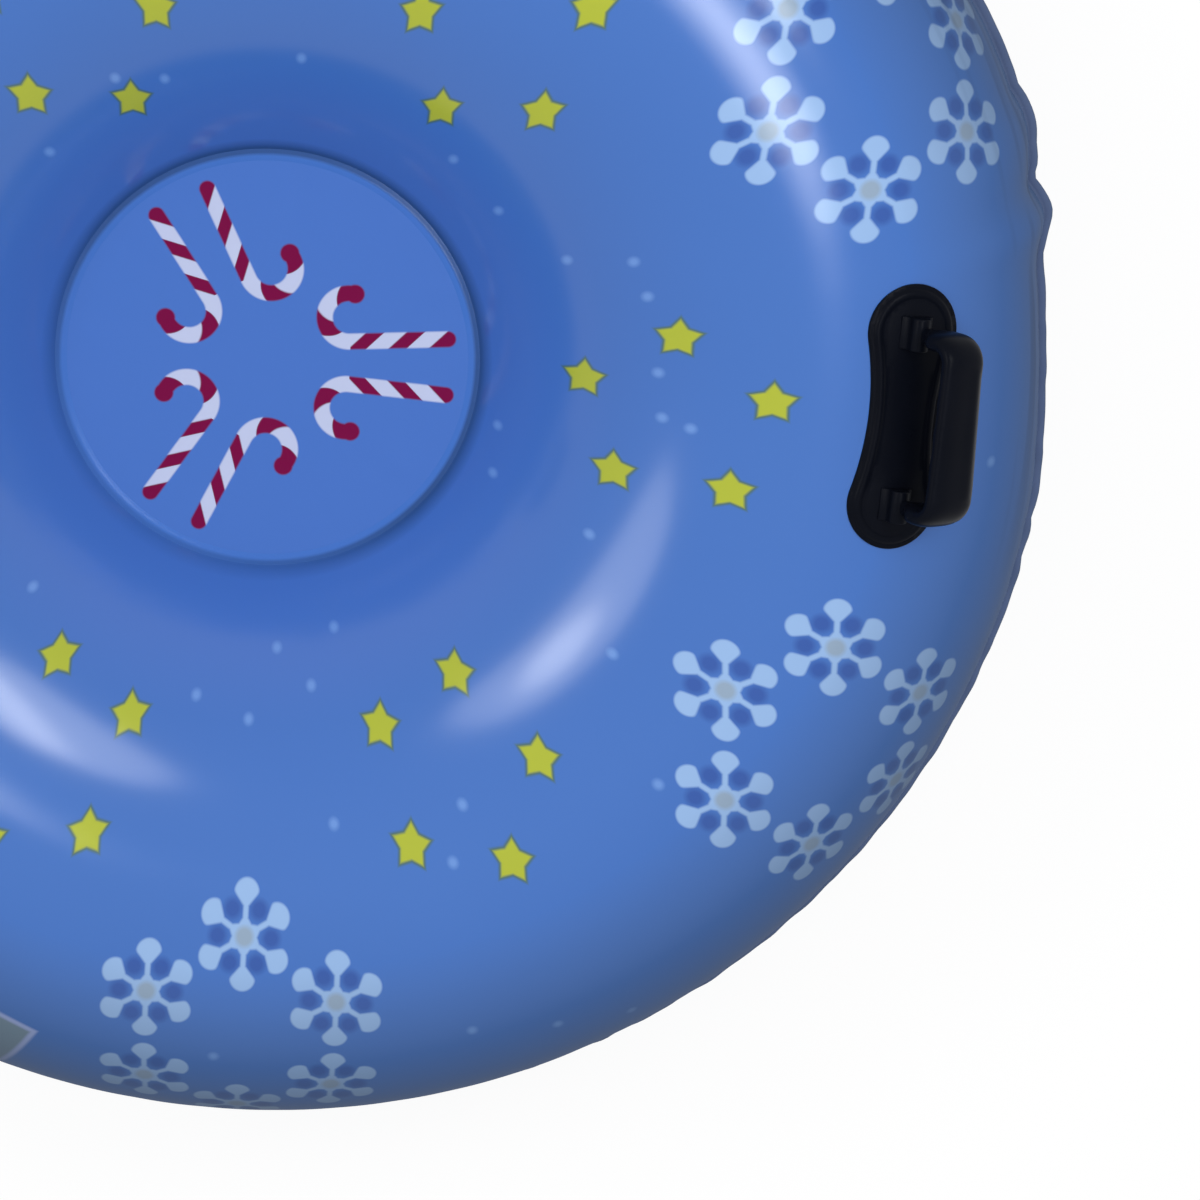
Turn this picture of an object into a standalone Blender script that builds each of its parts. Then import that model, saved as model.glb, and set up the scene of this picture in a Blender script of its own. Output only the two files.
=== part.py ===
"""Inflated snow tube.

Two thin skins are welded together along an outer and an inner ring seam and blown up into a
ring. A flat panel closes the middle as the seat. Two moulded handles are welded on opposite
sides, and a screw-in air valve sits on the crest. Metres, +Z up, resting on Z = 0, with the
handles on the X axis.
"""
import math

import bmesh
import bpy
import numpy
from mathutils import Matrix

# Skins and seams
TUBE_RADIUS = 0.494
SEAT_RADIUS = 0.134
TOP_WALL = 0.0008
BOTTOM_WALL = 0.0012
REST_HALF_WIDTH = 0.014
SEAM_THICKNESS = 0.002
SEAM_REACH = 0.006
SEAM_ROOT = 0.004
PUCKER_DEPTH = 0.0012
PUCKER_LIFT = 0.0011
BEAD_WIDTH = 0.0045
BEAD_RISE = 0.0006
PANEL_THICKNESS = 0.0016

# Clearance between neighbours that touch, the overrun of every cut, and the distance under which
# two points are one
GAP = 0.0003
OVERRUN = 0.004
MERGE = 0.000003

# Counts
AROUND = 64
INNER_STEPS = 5
OUTER_STEPS = 6
PUCKERS = 48
TABLE_STEPS = 400
HALVINGS = 50
SMOOTH_BELOW = math.radians(35.0)

# Handle pads, set outside the crest line
HANDLE_OUTSET = 0.0424
HANDLE_TURN = math.radians(4.0)
PAD_LOBE_RADIUS = 0.029
PAD_LOBE_OFFSET = 0.053
PAD_WAIST_HALF = 0.0225
PAD_THICKNESS = 0.0026
PAD_TOP_SHARES = ((1.0, 0.3), (0.97, 0.75), (0.91, 1.0), (0.83, 0.85), (0.42, 0.85), (0.0, 0.85))
PAD_UNDER_SHARES = (0.0, 0.3, 0.65, 1.0)
LOBE_STEPS = 12
WAIST_STEPS = 6

# Knuckles on the pads, and the grips that rock on them
KNUCKLE_OFFSET = 0.053
KNUCKLE_LENGTH = 0.020
KNUCKLE_RADIUS = 0.006
KNUCKLE_AXIS = 0.0085
KNUCKLE_WALL = 0.0016
KNUCKLE_FOOT = 0.0100
KNUCKLE_SINK = 0.0018
KNUCKLE_STEPS = 10
GRIP_RISE = 0.038
GRIP_LEAN = math.radians(23.0)
GRIP_CORNER = 0.012
GRIP_HALF_WIDTH = 0.0155
GRIP_HALF_DEPTH = 0.0062
GRIP_FOOT_WIDTH = 0.0036
GRIP_FOOT_DEPTH = 0.0050
GRIP_FLARE = 0.016
GRIP_SIDES = 14
GRIP_SQUARENESS = 2.6
CORNER_STEPS = 6
BAR_STEPS = 8
LEG_STEPS = 4
FINGER_GROOVE = 0.0009
FINGER_COUNT = 4

# Air valve
VALVE_AZIMUTH = math.radians(107.0)
VALVE_SIDES = 30
NECK_RADIUS = 0.0200
NECK_WALL = 0.0022
NECK_DEPTH = 0.016
NECK_RISE = 0.0040
FLANGE_RADIUS = 0.032
FLANGE_THICKNESS = 0.0018
FLANGE_EDGE = 0.0008
NECK_FILLET = 0.0008
WASHER_THICKNESS = 0.0015
WASHER_WIDTH = 0.0024
RIM_THICKNESS = 0.0026
RIM_SCALLOP = 0.0006
RIM_SCALLOPS = 12
SIDES_PER_SCALLOP = 4
BARREL_DEPTH = 0.012
COLLAR_WALL = 0.0025
COLLAR_RISE = 0.0070
MOUTH_RADIUS = 0.0100
HUB_RADIUS = 0.0032
HUB_SIDES = 10
SPOKE_WIDTH = 0.0022
SPOKE_COUNT = 4
GRATE_THICKNESS = 0.0020
STEM_RADIUS = 0.0012
STEM_HEAD = 0.0022
STEM_HEAD_THICKNESS = 0.0012
FLAP_THICKNESS = 0.0012
FLAP_OVERLAP = 0.0030
FLAP_TRAVEL = 0.0022
CAP_WALL = 0.0020
CAP_TOP = 0.0020
CAP_CHAMFER = 0.0007
TAB_WIDTH = 0.0080
TAB_LENGTH = 0.0060
TAB_THICKNESS = 0.0016
TETHER_WIDTH = 0.0050
TETHER_THICKNESS = 0.0012
TETHER_BOW = 0.0070
TETHER_STEPS = 10

# Colours
PRINTED_BLUE = (0.091, 0.223, 0.645)
UNDERSIDE_BLUE = (0.050, 0.130, 0.430)
HANDLE_BLACK = (0.012, 0.013, 0.016)
VALVE_WHITE = (0.750, 0.760, 0.770)
SEAL_GREY = (0.180, 0.185, 0.190)


def clear_scene():
    """Start from an empty scene."""
    for item in list(bpy.data.objects):
        bpy.data.objects.remove(item, do_unlink=True)


def material(name, colour, roughness):
    """A plain shiny or dull plastic."""
    finish = bpy.data.materials.new(name)
    finish.use_nodes = True
    shader = finish.node_tree.nodes["Principled BSDF"]
    shader.inputs["Base Color"].default_value = (*colour, 1.0)
    shader.inputs["Roughness"].default_value = roughness
    shader.inputs["Metallic"].default_value = 0.0
    return finish


# The inflated skin. Air pressure carries a loose sheet between two round seams into the curve
# whose slope at each radius follows from the crest radius: sin(slope) = (r*r - c*c) / (R*R - c*c).

def slope_at(radius, crest):
    """Outward lean of the skin at a radius, with the crest where it lies level."""
    share = (radius ** 2 - crest ** 2) / (TUBE_RADIUS ** 2 - crest ** 2)
    return math.asin(max(-1.0, min(1.0, share)))


def skin_table(crest):
    """Radii of the skin from the inner to the outer seam, and its height above the seams."""
    spread = TUBE_RADIUS ** 2 - crest ** 2
    slopes = numpy.linspace(slope_at(SEAT_RADIUS, crest), math.pi / 2, TABLE_STEPS)
    radii = numpy.sqrt(crest ** 2 + spread * numpy.sin(slopes))
    fall = spread * numpy.sin(slopes) / (2 * radii)
    pieces = (fall[1:] + fall[:-1]) / 2 * numpy.diff(slopes)
    heights = numpy.append(numpy.cumsum(pieces[::-1])[::-1], 0.0)
    return radii, heights


def find_crest():
    """The crest radius at which the skin comes back down to the inner seam."""
    low = SEAT_RADIUS
    high = math.sqrt((TUBE_RADIUS ** 2 + SEAT_RADIUS ** 2) / 2)
    for _ in range(HALVINGS):
        middle = (low + high) / 2
        if skin_table(middle)[1][0] > 0:
            low = middle
        else:
            high = middle
    return (low + high) / 2


CREST = find_crest()
SKIN_RADII, SKIN_HEIGHTS = skin_table(CREST)
HANDLE_RADIUS = CREST + HANDLE_OUTSET


def rise_at(radius):
    """Height of a skin's outside above its own seam edge."""
    return float(numpy.interp(radius, SKIN_RADII, SKIN_HEIGHTS))


SEAM_HALF = SEAM_THICKNESS / 2
SKIN_FOOT = SEAM_HALF + GAP
REST_RISE = min(rise_at(CREST - REST_HALF_WIDTH), rise_at(CREST + REST_HALF_WIDTH))
EQUATOR = SKIN_FOOT + REST_RISE
CREST_LEVEL = EQUATOR + SKIN_FOOT + rise_at(CREST)


def skin_radii():
    """Radii of the profile's corners: even steps of slope on each side of the resting band."""
    first = slope_at(SEAT_RADIUS, CREST)
    inner = slope_at(CREST - REST_HALF_WIDTH, CREST)
    outer = slope_at(CREST + REST_HALF_WIDTH, CREST)
    slopes = [first + (inner - first) * step / INNER_STEPS for step in range(INNER_STEPS + 1)]
    slopes += [outer + (math.pi / 2 - outer) * step / OUTER_STEPS for step in range(OUTER_STEPS + 1)]
    spread = TUBE_RADIUS ** 2 - CREST ** 2
    return [math.sqrt(CREST ** 2 + spread * math.sin(slope)) for slope in slopes]


def skin_outline(wall, flat_rise):
    """Closed wall section of one skin, as radius and height above its seam edge."""
    radii = skin_radii()
    outside = [(radius, min(rise_at(radius), flat_rise)) for radius in radii]
    inside = []
    for radius, rise in outside[1:-1]:
        slope = slope_at(radius, CREST)
        level = abs(rise - flat_rise) < MERGE
        drop = wall if level else wall * math.cos(slope)
        shift = 0 if level else wall * math.sin(slope)
        inside.append((radius - shift, rise - drop))
    foot = wall / abs(math.sin(slope_at(SEAT_RADIUS, CREST)))
    inside.insert(0, (radii[0] + foot, 0))
    inside.append((radii[-1] - wall, 0))
    return outside + inside[::-1]


# Mesh helpers

def turned(outline, sides, closed=True):
    """Turn an outline of (radius, height) points about Z; an open one starts and ends on the axis."""
    mesh = bmesh.new()
    corners = [mesh.verts.new((radius, 0, height)) for radius, height in outline]
    edges = [mesh.edges.new(pair) for pair in zip(corners, corners[1:])]
    if closed:
        edges.append(mesh.edges.new((corners[-1], corners[0])))
    bmesh.ops.spin(mesh, geom=corners + edges, cent=(0, 0, 0), axis=(0, 0, 1),
                   angle=2 * math.pi, steps=sides, use_merge=True)
    bmesh.ops.remove_doubles(mesh, verts=mesh.verts, dist=MERGE)
    bmesh.ops.recalc_face_normals(mesh, faces=mesh.faces)
    return mesh


def box(size, centre):
    """A rectangular block."""
    mesh = bmesh.new()
    place = Matrix.Translation(centre) @ Matrix.Diagonal((*size, 1))
    bmesh.ops.create_cube(mesh, size=1, matrix=place)
    return mesh


def prism(outline, length):
    """A section of (x, z) points drawn out along Y, centred on the origin."""
    mesh = bmesh.new()
    corners = [mesh.verts.new((across, -length / 2, up)) for across, up in outline]
    face = mesh.faces.new(corners)
    drawn = bmesh.ops.extrude_face_region(mesh, geom=[face])
    moved = [item for item in drawn["geom"] if isinstance(item, bmesh.types.BMVert)]
    bmesh.ops.translate(mesh, verts=moved, vec=(0, length, 0))
    bmesh.ops.recalc_face_normals(mesh, faces=mesh.faces)
    return mesh


def lofted(rings, caps):
    """Join rings of equal length into a skin; caps adds the faces that close its two ends."""
    mesh = bmesh.new()
    loops = [[mesh.verts.new(point) for point in ring] for ring in rings]
    for here, there in zip(loops, loops[1:]):
        for index in range(len(here)):
            after = (index + 1) % len(here)
            mesh.faces.new((here[index], here[after], there[after], there[index]))
    caps(mesh, loops[0])
    caps(mesh, loops[-1])
    bmesh.ops.remove_doubles(mesh, verts=mesh.verts, dist=MERGE)
    bmesh.ops.recalc_face_normals(mesh, faces=mesh.faces)
    return mesh


def add_object(name, mesh, finish, parent=None, place=None):
    """Make a named object from a bmesh, with its place given under its parent."""
    data = bpy.data.meshes.new(name)
    mesh.to_mesh(data)
    mesh.free()
    data.shade_smooth()
    data.set_sharp_from_angle(angle=SMOOTH_BELOW)
    if finish:
        data.materials.append(finish)
    item = bpy.data.objects.new(name, data)
    bpy.context.collection.objects.link(item)
    item.parent = parent
    if place is not None:
        item.matrix_local = place
    return item


def add_empty(name, place):
    """A placing point with its own axes."""
    item = bpy.data.objects.new(name, None)
    bpy.context.collection.objects.link(item)
    item.matrix_world = place
    return item


def combine(target, tool, operation):
    """Join a tool body to a target, or cut it away."""
    tool.hide_render = True
    tool.display_type = "WIRE"
    change = target.modifiers.new(tool.name, "BOOLEAN")
    change.object = tool
    change.operation = operation
    change.solver = "EXACT"


def mesh_copy(item, name, parent, place):
    """A second object that shares an object's mesh."""
    other = bpy.data.objects.new(name, item.data)
    bpy.context.collection.objects.link(other)
    other.parent = parent
    other.matrix_local = place
    return other


# Where a piece sits on the upper skin

def skin_frame(radius, azimuth, turn=0):
    """Axes on the upper skin: X outward down the slope, Y along the ring, Z square to the skin."""
    level = EQUATOR + SKIN_FOOT + rise_at(radius)
    place = Matrix.Rotation(azimuth, 4, "Z") @ Matrix.Translation((radius, 0, level))
    lean = Matrix.Rotation(slope_at(radius, CREST), 4, "Y")
    return place @ lean @ Matrix.Rotation(-turn, 4, "Z")


def sag_under(frame, across, along):
    """How far the upper skin lies below the frame's own plane at a point of that plane."""
    low = -REST_RISE / 2
    high = REST_RISE / 2
    for _ in range(HALVINGS):
        middle = (low + high) / 2
        point = frame @ Matrix.Translation((across, along, middle))
        where = point.translation
        surface = EQUATOR + SKIN_FOOT + rise_at(math.hypot(where.x, where.y))
        if where.z > surface:
            high = middle
        else:
            low = middle
    return -high


# Skins, seams and seat

def build_skins(printed, plain):
    """The printed upper skin and the heavier lower one, mirror images but for their walls."""
    section = skin_outline(TOP_WALL, rise_at(CREST))
    outline = [(radius, EQUATOR + SKIN_FOOT + rise) for radius, rise in section]
    top = add_object("top_skin", turned(outline, AROUND), printed)
    hole = turned([(0, CREST_LEVEL + OVERRUN), (NECK_RADIUS + GAP, CREST_LEVEL + OVERRUN),
                   (NECK_RADIUS + GAP, CREST_LEVEL - NECK_DEPTH), (0, CREST_LEVEL - NECK_DEPTH)],
                  VALVE_SIDES, closed=False)
    cutter = add_object("valve_hole", hole, None)
    cutter.matrix_world = valve_place(0)
    combine(top, cutter, "DIFFERENCE")
    section = skin_outline(BOTTOM_WALL, REST_RISE)
    outline = [(radius, EQUATOR - SKIN_FOOT - rise) for radius, rise in section]
    add_object("bottom_skin", turned(outline, AROUND), plain)


def build_outer_seam(plain):
    """The welded flange round the outside, gathered into small puckers where it stands free."""
    inner = TUBE_RADIUS - SEAM_ROOT
    edge = TUBE_RADIUS + SEAM_REACH
    free = TUBE_RADIUS + PUCKER_DEPTH
    outline = [(inner, EQUATOR + SEAM_HALF), (free, EQUATOR + SEAM_HALF), (edge, EQUATOR + SEAM_HALF),
               (edge, EQUATOR - SEAM_HALF), (free, EQUATOR - SEAM_HALF), (inner, EQUATOR - SEAM_HALF)]
    mesh = turned(outline, 2 * PUCKERS)
    for corner in mesh.verts:
        radius = math.hypot(corner.co.x, corner.co.y)
        if radius < (free + edge) / 2:
            continue
        count = round(math.atan2(corner.co.y, corner.co.x) * PUCKERS / math.pi)
        swing = 1 if count % 2 else -1
        draw = (radius - PUCKER_DEPTH * (1 - swing) / 2) / radius
        corner.co.x *= draw
        corner.co.y *= draw
        corner.co.z += swing * PUCKER_LIFT
    add_object("outer_seam", mesh, plain)


def build_seat(printed, plain):
    """The seat panel and the weld ring that holds it between the skins."""
    skin_root = SEAT_RADIUS + SEAM_ROOT
    bead_outer = SEAT_RADIUS - SEAM_THICKNESS
    bead_inner = bead_outer - BEAD_WIDTH
    crown = SEAM_HALF + BEAD_RISE
    side = [(skin_root, SEAM_HALF), (bead_outer, SEAM_HALF), ((bead_outer + bead_inner) / 2, crown),
            (bead_inner, SEAM_HALF)]
    outline = side + [(radius, -rise) for radius, rise in side[::-1]]
    add_object("inner_seam", turned([(radius, EQUATOR + rise) for radius, rise in outline], AROUND), plain)
    half = PANEL_THICKNESS / 2
    edge = bead_inner - GAP
    disc = [(0, EQUATOR + half), (edge, EQUATOR + half), (edge, EQUATOR - half), (0, EQUATOR - half)]
    add_object("seat_panel", turned(disc, AROUND, closed=False), printed)


# Handles

def pad_outline():
    """Dog-bone outline of a pad: two round lobes joined by hollow sides, each an arc."""
    waist = ((PAD_WAIST_HALF ** 2 + PAD_LOBE_OFFSET ** 2 - PAD_LOBE_RADIUS ** 2)
             / (2 * (PAD_LOBE_RADIUS - PAD_WAIST_HALF)))
    meet = math.atan2(PAD_LOBE_OFFSET, PAD_WAIST_HALF + waist)
    quarter = []
    for step in range(WAIST_STEPS // 2 + 1):
        turn = meet * step / (WAIST_STEPS // 2)
        quarter.append((PAD_WAIST_HALF + waist - waist * math.cos(turn), waist * math.sin(turn)))
    for step in range(1, LOBE_STEPS // 2 + 1):
        turn = -meet + (math.pi / 2 + meet) * step / (LOBE_STEPS // 2)
        along = PAD_LOBE_OFFSET + PAD_LOBE_RADIUS * math.sin(turn)
        quarter.append((PAD_LOBE_RADIUS * math.cos(turn), along))
    half = quarter + [(-across, along) for across, along in quarter[-2::-1]]
    return half + [(-across, -along) for across, along in half[1:-1]]


def pad_rings(frame):
    """Rings of a pad from the middle of its underside, out round its edge and back over the top."""
    layers = [(share, 0) for share in PAD_UNDER_SHARES]
    layers += [(share, height_share * PAD_THICKNESS) for share, height_share in PAD_TOP_SHARES]
    rings = []
    for share, height in layers:
        ring = []
        for across, along in pad_outline():
            spine = max(-PAD_LOBE_OFFSET, min(PAD_LOBE_OFFSET, along))
            across_here = across * share
            along_here = spine + (along - spine) * share
            drop = sag_under(frame, across_here, along_here)
            ring.append((across_here, along_here, GAP + height - drop))
        rings.append(ring)
    return rings


def no_cap(mesh, loop):
    """The ring has already closed on itself."""


def build_pad(name, frame, anchor, finish):
    """A moulded pad that follows the skin, with a knuckle on each lobe for the grip's feet."""
    pad = add_object(name, lofted(pad_rings(frame), no_cap), finish, anchor)
    top = [(-KNUCKLE_RADIUS * math.cos(math.pi * step / KNUCKLE_STEPS),
            KNUCKLE_AXIS + KNUCKLE_RADIUS * math.sin(math.pi * step / KNUCKLE_STEPS))
           for step in range(KNUCKLE_STEPS + 1)]
    shoulder = KNUCKLE_AXIS - KNUCKLE_WALL
    sunk = PAD_THICKNESS - KNUCKLE_SINK
    sides = [(KNUCKLE_RADIUS, shoulder), (KNUCKLE_FOOT, PAD_THICKNESS), (KNUCKLE_FOOT, sunk),
             (-KNUCKLE_FOOT, sunk), (-KNUCKLE_FOOT, PAD_THICKNESS), (-KNUCKLE_RADIUS, shoulder)]
    for side, end in ((-1, "low"), (1, "high")):
        place = Matrix.Translation((0, side * KNUCKLE_OFFSET, 0))
        block = prism(top + sides, KNUCKLE_LENGTH)
        knuckle = add_object(f"{name}_knuckle_{end}", block, finish, anchor, place)
        combine(pad, knuckle, "UNION")
    return pad


def grip_path():
    """Centre line of the arched grip, from one foot over the bar to the other, with its direction."""
    reach = KNUCKLE_OFFSET - GRIP_CORNER
    rise = GRIP_RISE - GRIP_CORNER
    saddle = KNUCKLE_RADIUS + GAP
    path = []
    for step in range(LEG_STEPS):
        height = saddle + (rise - saddle) * step / LEG_STEPS
        path.append((-KNUCKLE_OFFSET, height, 0.0))
    for step in range(CORNER_STEPS):
        turn = math.pi / 2 * step / CORNER_STEPS
        path.append((-reach - GRIP_CORNER * math.cos(turn), rise + GRIP_CORNER * math.sin(turn), turn))
    for step in range(BAR_STEPS):
        path.append((-reach + reach * step / BAR_STEPS, GRIP_RISE, math.pi / 2))
    middle = [(0.0, GRIP_RISE, math.pi / 2)]
    mirrored = [(-along, height, math.pi - turn) for along, height, turn in path[::-1]]
    return path + middle + mirrored


def grip_section(height):
    """Half width and half depth of the grip: narrow feet that flare into a broad bar."""
    saddle = KNUCKLE_RADIUS + GAP
    share = min(1.0, max(0.0, (height - saddle) / GRIP_FLARE))
    flare = share * share * (3 - 2 * share)
    width = GRIP_FOOT_WIDTH + (GRIP_HALF_WIDTH - GRIP_FOOT_WIDTH) * flare
    depth = GRIP_FOOT_DEPTH + (GRIP_HALF_DEPTH - GRIP_FOOT_DEPTH) * flare
    return width, depth


def grip_rings():
    """Rings along the grip; the first and last wrap over the knuckles."""
    bar_half = KNUCKLE_OFFSET - GRIP_CORNER
    power = 2 / GRIP_SQUARENESS
    path = grip_path()
    rings = []
    for index, (along, height, turn) in enumerate(path):
        width, depth = grip_section(height)
        in_bar = max(0.0, 1 - (along / bar_half) ** 2)
        groove = FINGER_GROOVE * in_bar * (1 - math.cos(math.pi * FINGER_COUNT * (along / bar_half + 1)))
        ring = []
        for side in range(GRIP_SIDES):
            angle = 2 * math.pi * side / GRIP_SIDES
            across = width * math.copysign(abs(math.cos(angle)) ** power, math.cos(angle))
            out = depth * math.copysign(abs(math.sin(angle)) ** power, math.sin(angle))
            if out < 0:
                out += groove * (-out / depth)
            point_along = along - out * math.cos(turn)
            point_height = height + out * math.sin(turn)
            if index in (0, len(path) - 1):
                point_height = math.sqrt((KNUCKLE_RADIUS + GAP) ** 2 - across ** 2)
            ring.append((across, point_along, point_height))
        rings.append(ring)
    return rings


def saddle_cap(mesh, loop):
    """Close a foot with strips between corners that lie at the same width."""
    count = len(loop)
    for side in range(count // 2):
        mirror = (count - side) % count
        face = [loop[side], loop[side + 1], loop[count - side - 1], loop[mirror]]
        corners = list(dict.fromkeys(face))
        mesh.faces.new(corners)


def build_handles(black):
    """Both handles: the left one is the right one turned half round the tube."""
    frame = skin_frame(HANDLE_RADIUS, 0, HANDLE_TURN)
    hinge = Matrix.Translation((0, 0, KNUCKLE_AXIS)) @ Matrix.Rotation(GRIP_LEAN, 4, "Y")
    right = add_empty("right_handle_place", frame)
    left = add_empty("left_handle_place", Matrix.Rotation(math.pi, 4, "Z") @ frame)
    build_pad("right_handle_pad", frame, right, black)
    build_pad("left_handle_pad", frame, left, black)
    grip = add_object("right_handle_grip", lofted(grip_rings(), saddle_cap), black, right, hinge)
    mesh_copy(grip, "left_handle_grip", left, hinge)


# Valve

def valve_place(level):
    """Upright axes on the crest at the valve, at a level."""
    return Matrix.Rotation(VALVE_AZIMUTH, 4, "Z") @ Matrix.Translation((CREST, 0, level))


WASHER_LEVEL = NECK_RISE + GAP
RIM_LEVEL = WASHER_LEVEL + WASHER_THICKNESS + GAP
RIM_TOP = RIM_LEVEL + RIM_THICKNESS
COLLAR_RADIUS = MOUTH_RADIUS + COLLAR_WALL
COLLAR_TOP = RIM_TOP + COLLAR_RISE
TETHER_LEVEL = RIM_TOP + GAP
SKIRT_LEVEL = TETHER_LEVEL + TETHER_THICKNESS + GAP
CAP_UNDER = COLLAR_TOP + GAP
CAP_RADIUS = COLLAR_RADIUS + GAP + CAP_WALL
BARREL_RADIUS = NECK_RADIUS - NECK_WALL - GAP


def build_valve_base(frame, anchor, white):
    """Flange welded to the skin, and the threaded neck that hangs inside the air chamber."""
    bore = NECK_RADIUS - NECK_WALL
    shoulder = (NECK_RADIUS + FLANGE_RADIUS) / 2
    flange_top = GAP + FLANGE_THICKNESS
    outline = [(bore, -NECK_DEPTH), (NECK_RADIUS, -NECK_DEPTH), (NECK_RADIUS, GAP), (shoulder, GAP),
               (FLANGE_RADIUS, GAP), (FLANGE_RADIUS, GAP + FLANGE_EDGE), (shoulder, flange_top),
               (NECK_RADIUS + NECK_FILLET, flange_top), (NECK_RADIUS, NECK_RISE), (bore, NECK_RISE)]
    mesh = turned(outline, VALVE_SIDES)
    for corner in mesh.verts:
        if math.hypot(corner.co.x, corner.co.y) > NECK_RADIUS + GAP:
            corner.co.z -= sag_under(frame, corner.co.x, corner.co.y)
    return add_object("valve_base", mesh, white, anchor)


def build_valve_washer(anchor, grey):
    """Rubber washer squeezed between the neck and the insert's rim."""
    inner = NECK_RADIUS - WASHER_WIDTH / 2 - GAP
    outer = inner + WASHER_WIDTH
    top = WASHER_LEVEL + WASHER_THICKNESS
    outline = [(inner, WASHER_LEVEL), (outer, WASHER_LEVEL), (outer, top), (inner, top)]
    add_object("valve_washer", turned(outline, VALVE_SIDES), grey, anchor)


def build_valve_insert(anchor, white):
    """Screw-in body: scalloped rim, mouth collar, and a spoked grate that carries the flap."""
    rim_radius = NECK_RADIUS + RIM_SCALLOP
    step_level = -BARREL_DEPTH + GRATE_THICKNESS
    outline = [(MOUTH_RADIUS, -BARREL_DEPTH), (BARREL_RADIUS, -BARREL_DEPTH), (BARREL_RADIUS, RIM_LEVEL),
               (rim_radius, RIM_LEVEL), (rim_radius, RIM_TOP), (COLLAR_RADIUS, RIM_TOP),
               (COLLAR_RADIUS, COLLAR_TOP), (MOUTH_RADIUS, COLLAR_TOP)]
    mesh = turned(outline, RIM_SCALLOPS * SIDES_PER_SCALLOP)
    for corner in mesh.verts:
        radius = math.hypot(corner.co.x, corner.co.y)
        if radius > BARREL_RADIUS + RIM_SCALLOP:
            wave = math.cos(RIM_SCALLOPS * math.atan2(corner.co.y, corner.co.x))
            corner.co.x *= (radius + RIM_SCALLOP * wave) / radius
            corner.co.y *= (radius + RIM_SCALLOP * wave) / radius
    insert = add_object("valve_insert", mesh, white, anchor)
    middle = (step_level - BARREL_DEPTH) / 2
    length = MOUTH_RADIUS + COLLAR_WALL / 2
    for count in range(SPOKE_COUNT // 2):
        bar = box((2 * length, SPOKE_WIDTH, GRATE_THICKNESS), (0, 0, 0))
        spoke = add_object(f"insert_spoke_{count}", bar, None, anchor)
        spoke.matrix_local = (Matrix.Translation((0, 0, middle))
                              @ Matrix.Rotation(math.pi * count / (SPOKE_COUNT // 2), 4, "Z"))
        combine(insert, spoke, "UNION")
    hub_outline = [(0, step_level), (HUB_RADIUS, step_level), (HUB_RADIUS, -BARREL_DEPTH),
                   (0, -BARREL_DEPTH)]
    hub = add_object("insert_hub", turned(hub_outline, HUB_SIDES, closed=False), None, anchor)
    combine(insert, hub, "UNION")
    top = step_level + OVERRUN
    under = -BARREL_DEPTH - OVERRUN
    hole_radius = STEM_RADIUS + GAP
    hole_outline = [(0, top), (hole_radius, top), (hole_radius, under), (0, under)]
    hole = add_object("insert_stem_hole", turned(hole_outline, HUB_SIDES, closed=False), None, anchor)
    combine(insert, hole, "DIFFERENCE")


def build_valve_flap(anchor, grey):
    """Soft mushroom flap under the grate, with the headed stem that guides it."""
    seat = -BARREL_DEPTH - GAP
    grate_top = -BARREL_DEPTH + GRATE_THICKNESS
    head = grate_top + GAP + FLAP_TRAVEL
    outline = [(0, head + STEM_HEAD_THICKNESS), (STEM_HEAD, head + STEM_HEAD_THICKNESS), (STEM_HEAD, head),
               (STEM_RADIUS, head), (STEM_RADIUS, seat), (MOUTH_RADIUS + FLAP_OVERLAP, seat),
               (MOUTH_RADIUS + FLAP_OVERLAP, seat - FLAP_THICKNESS / 2), (HUB_RADIUS, seat - FLAP_THICKNESS),
               (0, seat - FLAP_THICKNESS)]
    add_object("valve_flap", turned(outline, VALVE_SIDES, closed=False), grey, anchor)


def build_valve_cap(anchor, white):
    """Push-on cap over the collar, with a lifting tab on its side."""
    inner = COLLAR_RADIUS + GAP
    top = CAP_UNDER + CAP_TOP
    outline = [(0, top), (CAP_RADIUS - CAP_CHAMFER, top), (CAP_RADIUS, top - CAP_CHAMFER),
               (CAP_RADIUS, SKIRT_LEVEL),
               (inner, SKIRT_LEVEL), (inner, CAP_UNDER), (0, CAP_UNDER)]
    cap = add_object("valve_cap", turned(outline, VALVE_SIDES, closed=False), white, anchor)
    length = TAB_LENGTH + CAP_WALL / 2
    centre = (CAP_RADIUS - CAP_WALL / 2 + length / 2, 0, top - CAP_CHAMFER - TAB_THICKNESS / 2)
    tab = add_object("cap_tab", box((length, TAB_WIDTH, TAB_THICKNESS), centre), None, anchor)
    combine(cap, tab, "UNION")


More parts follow.
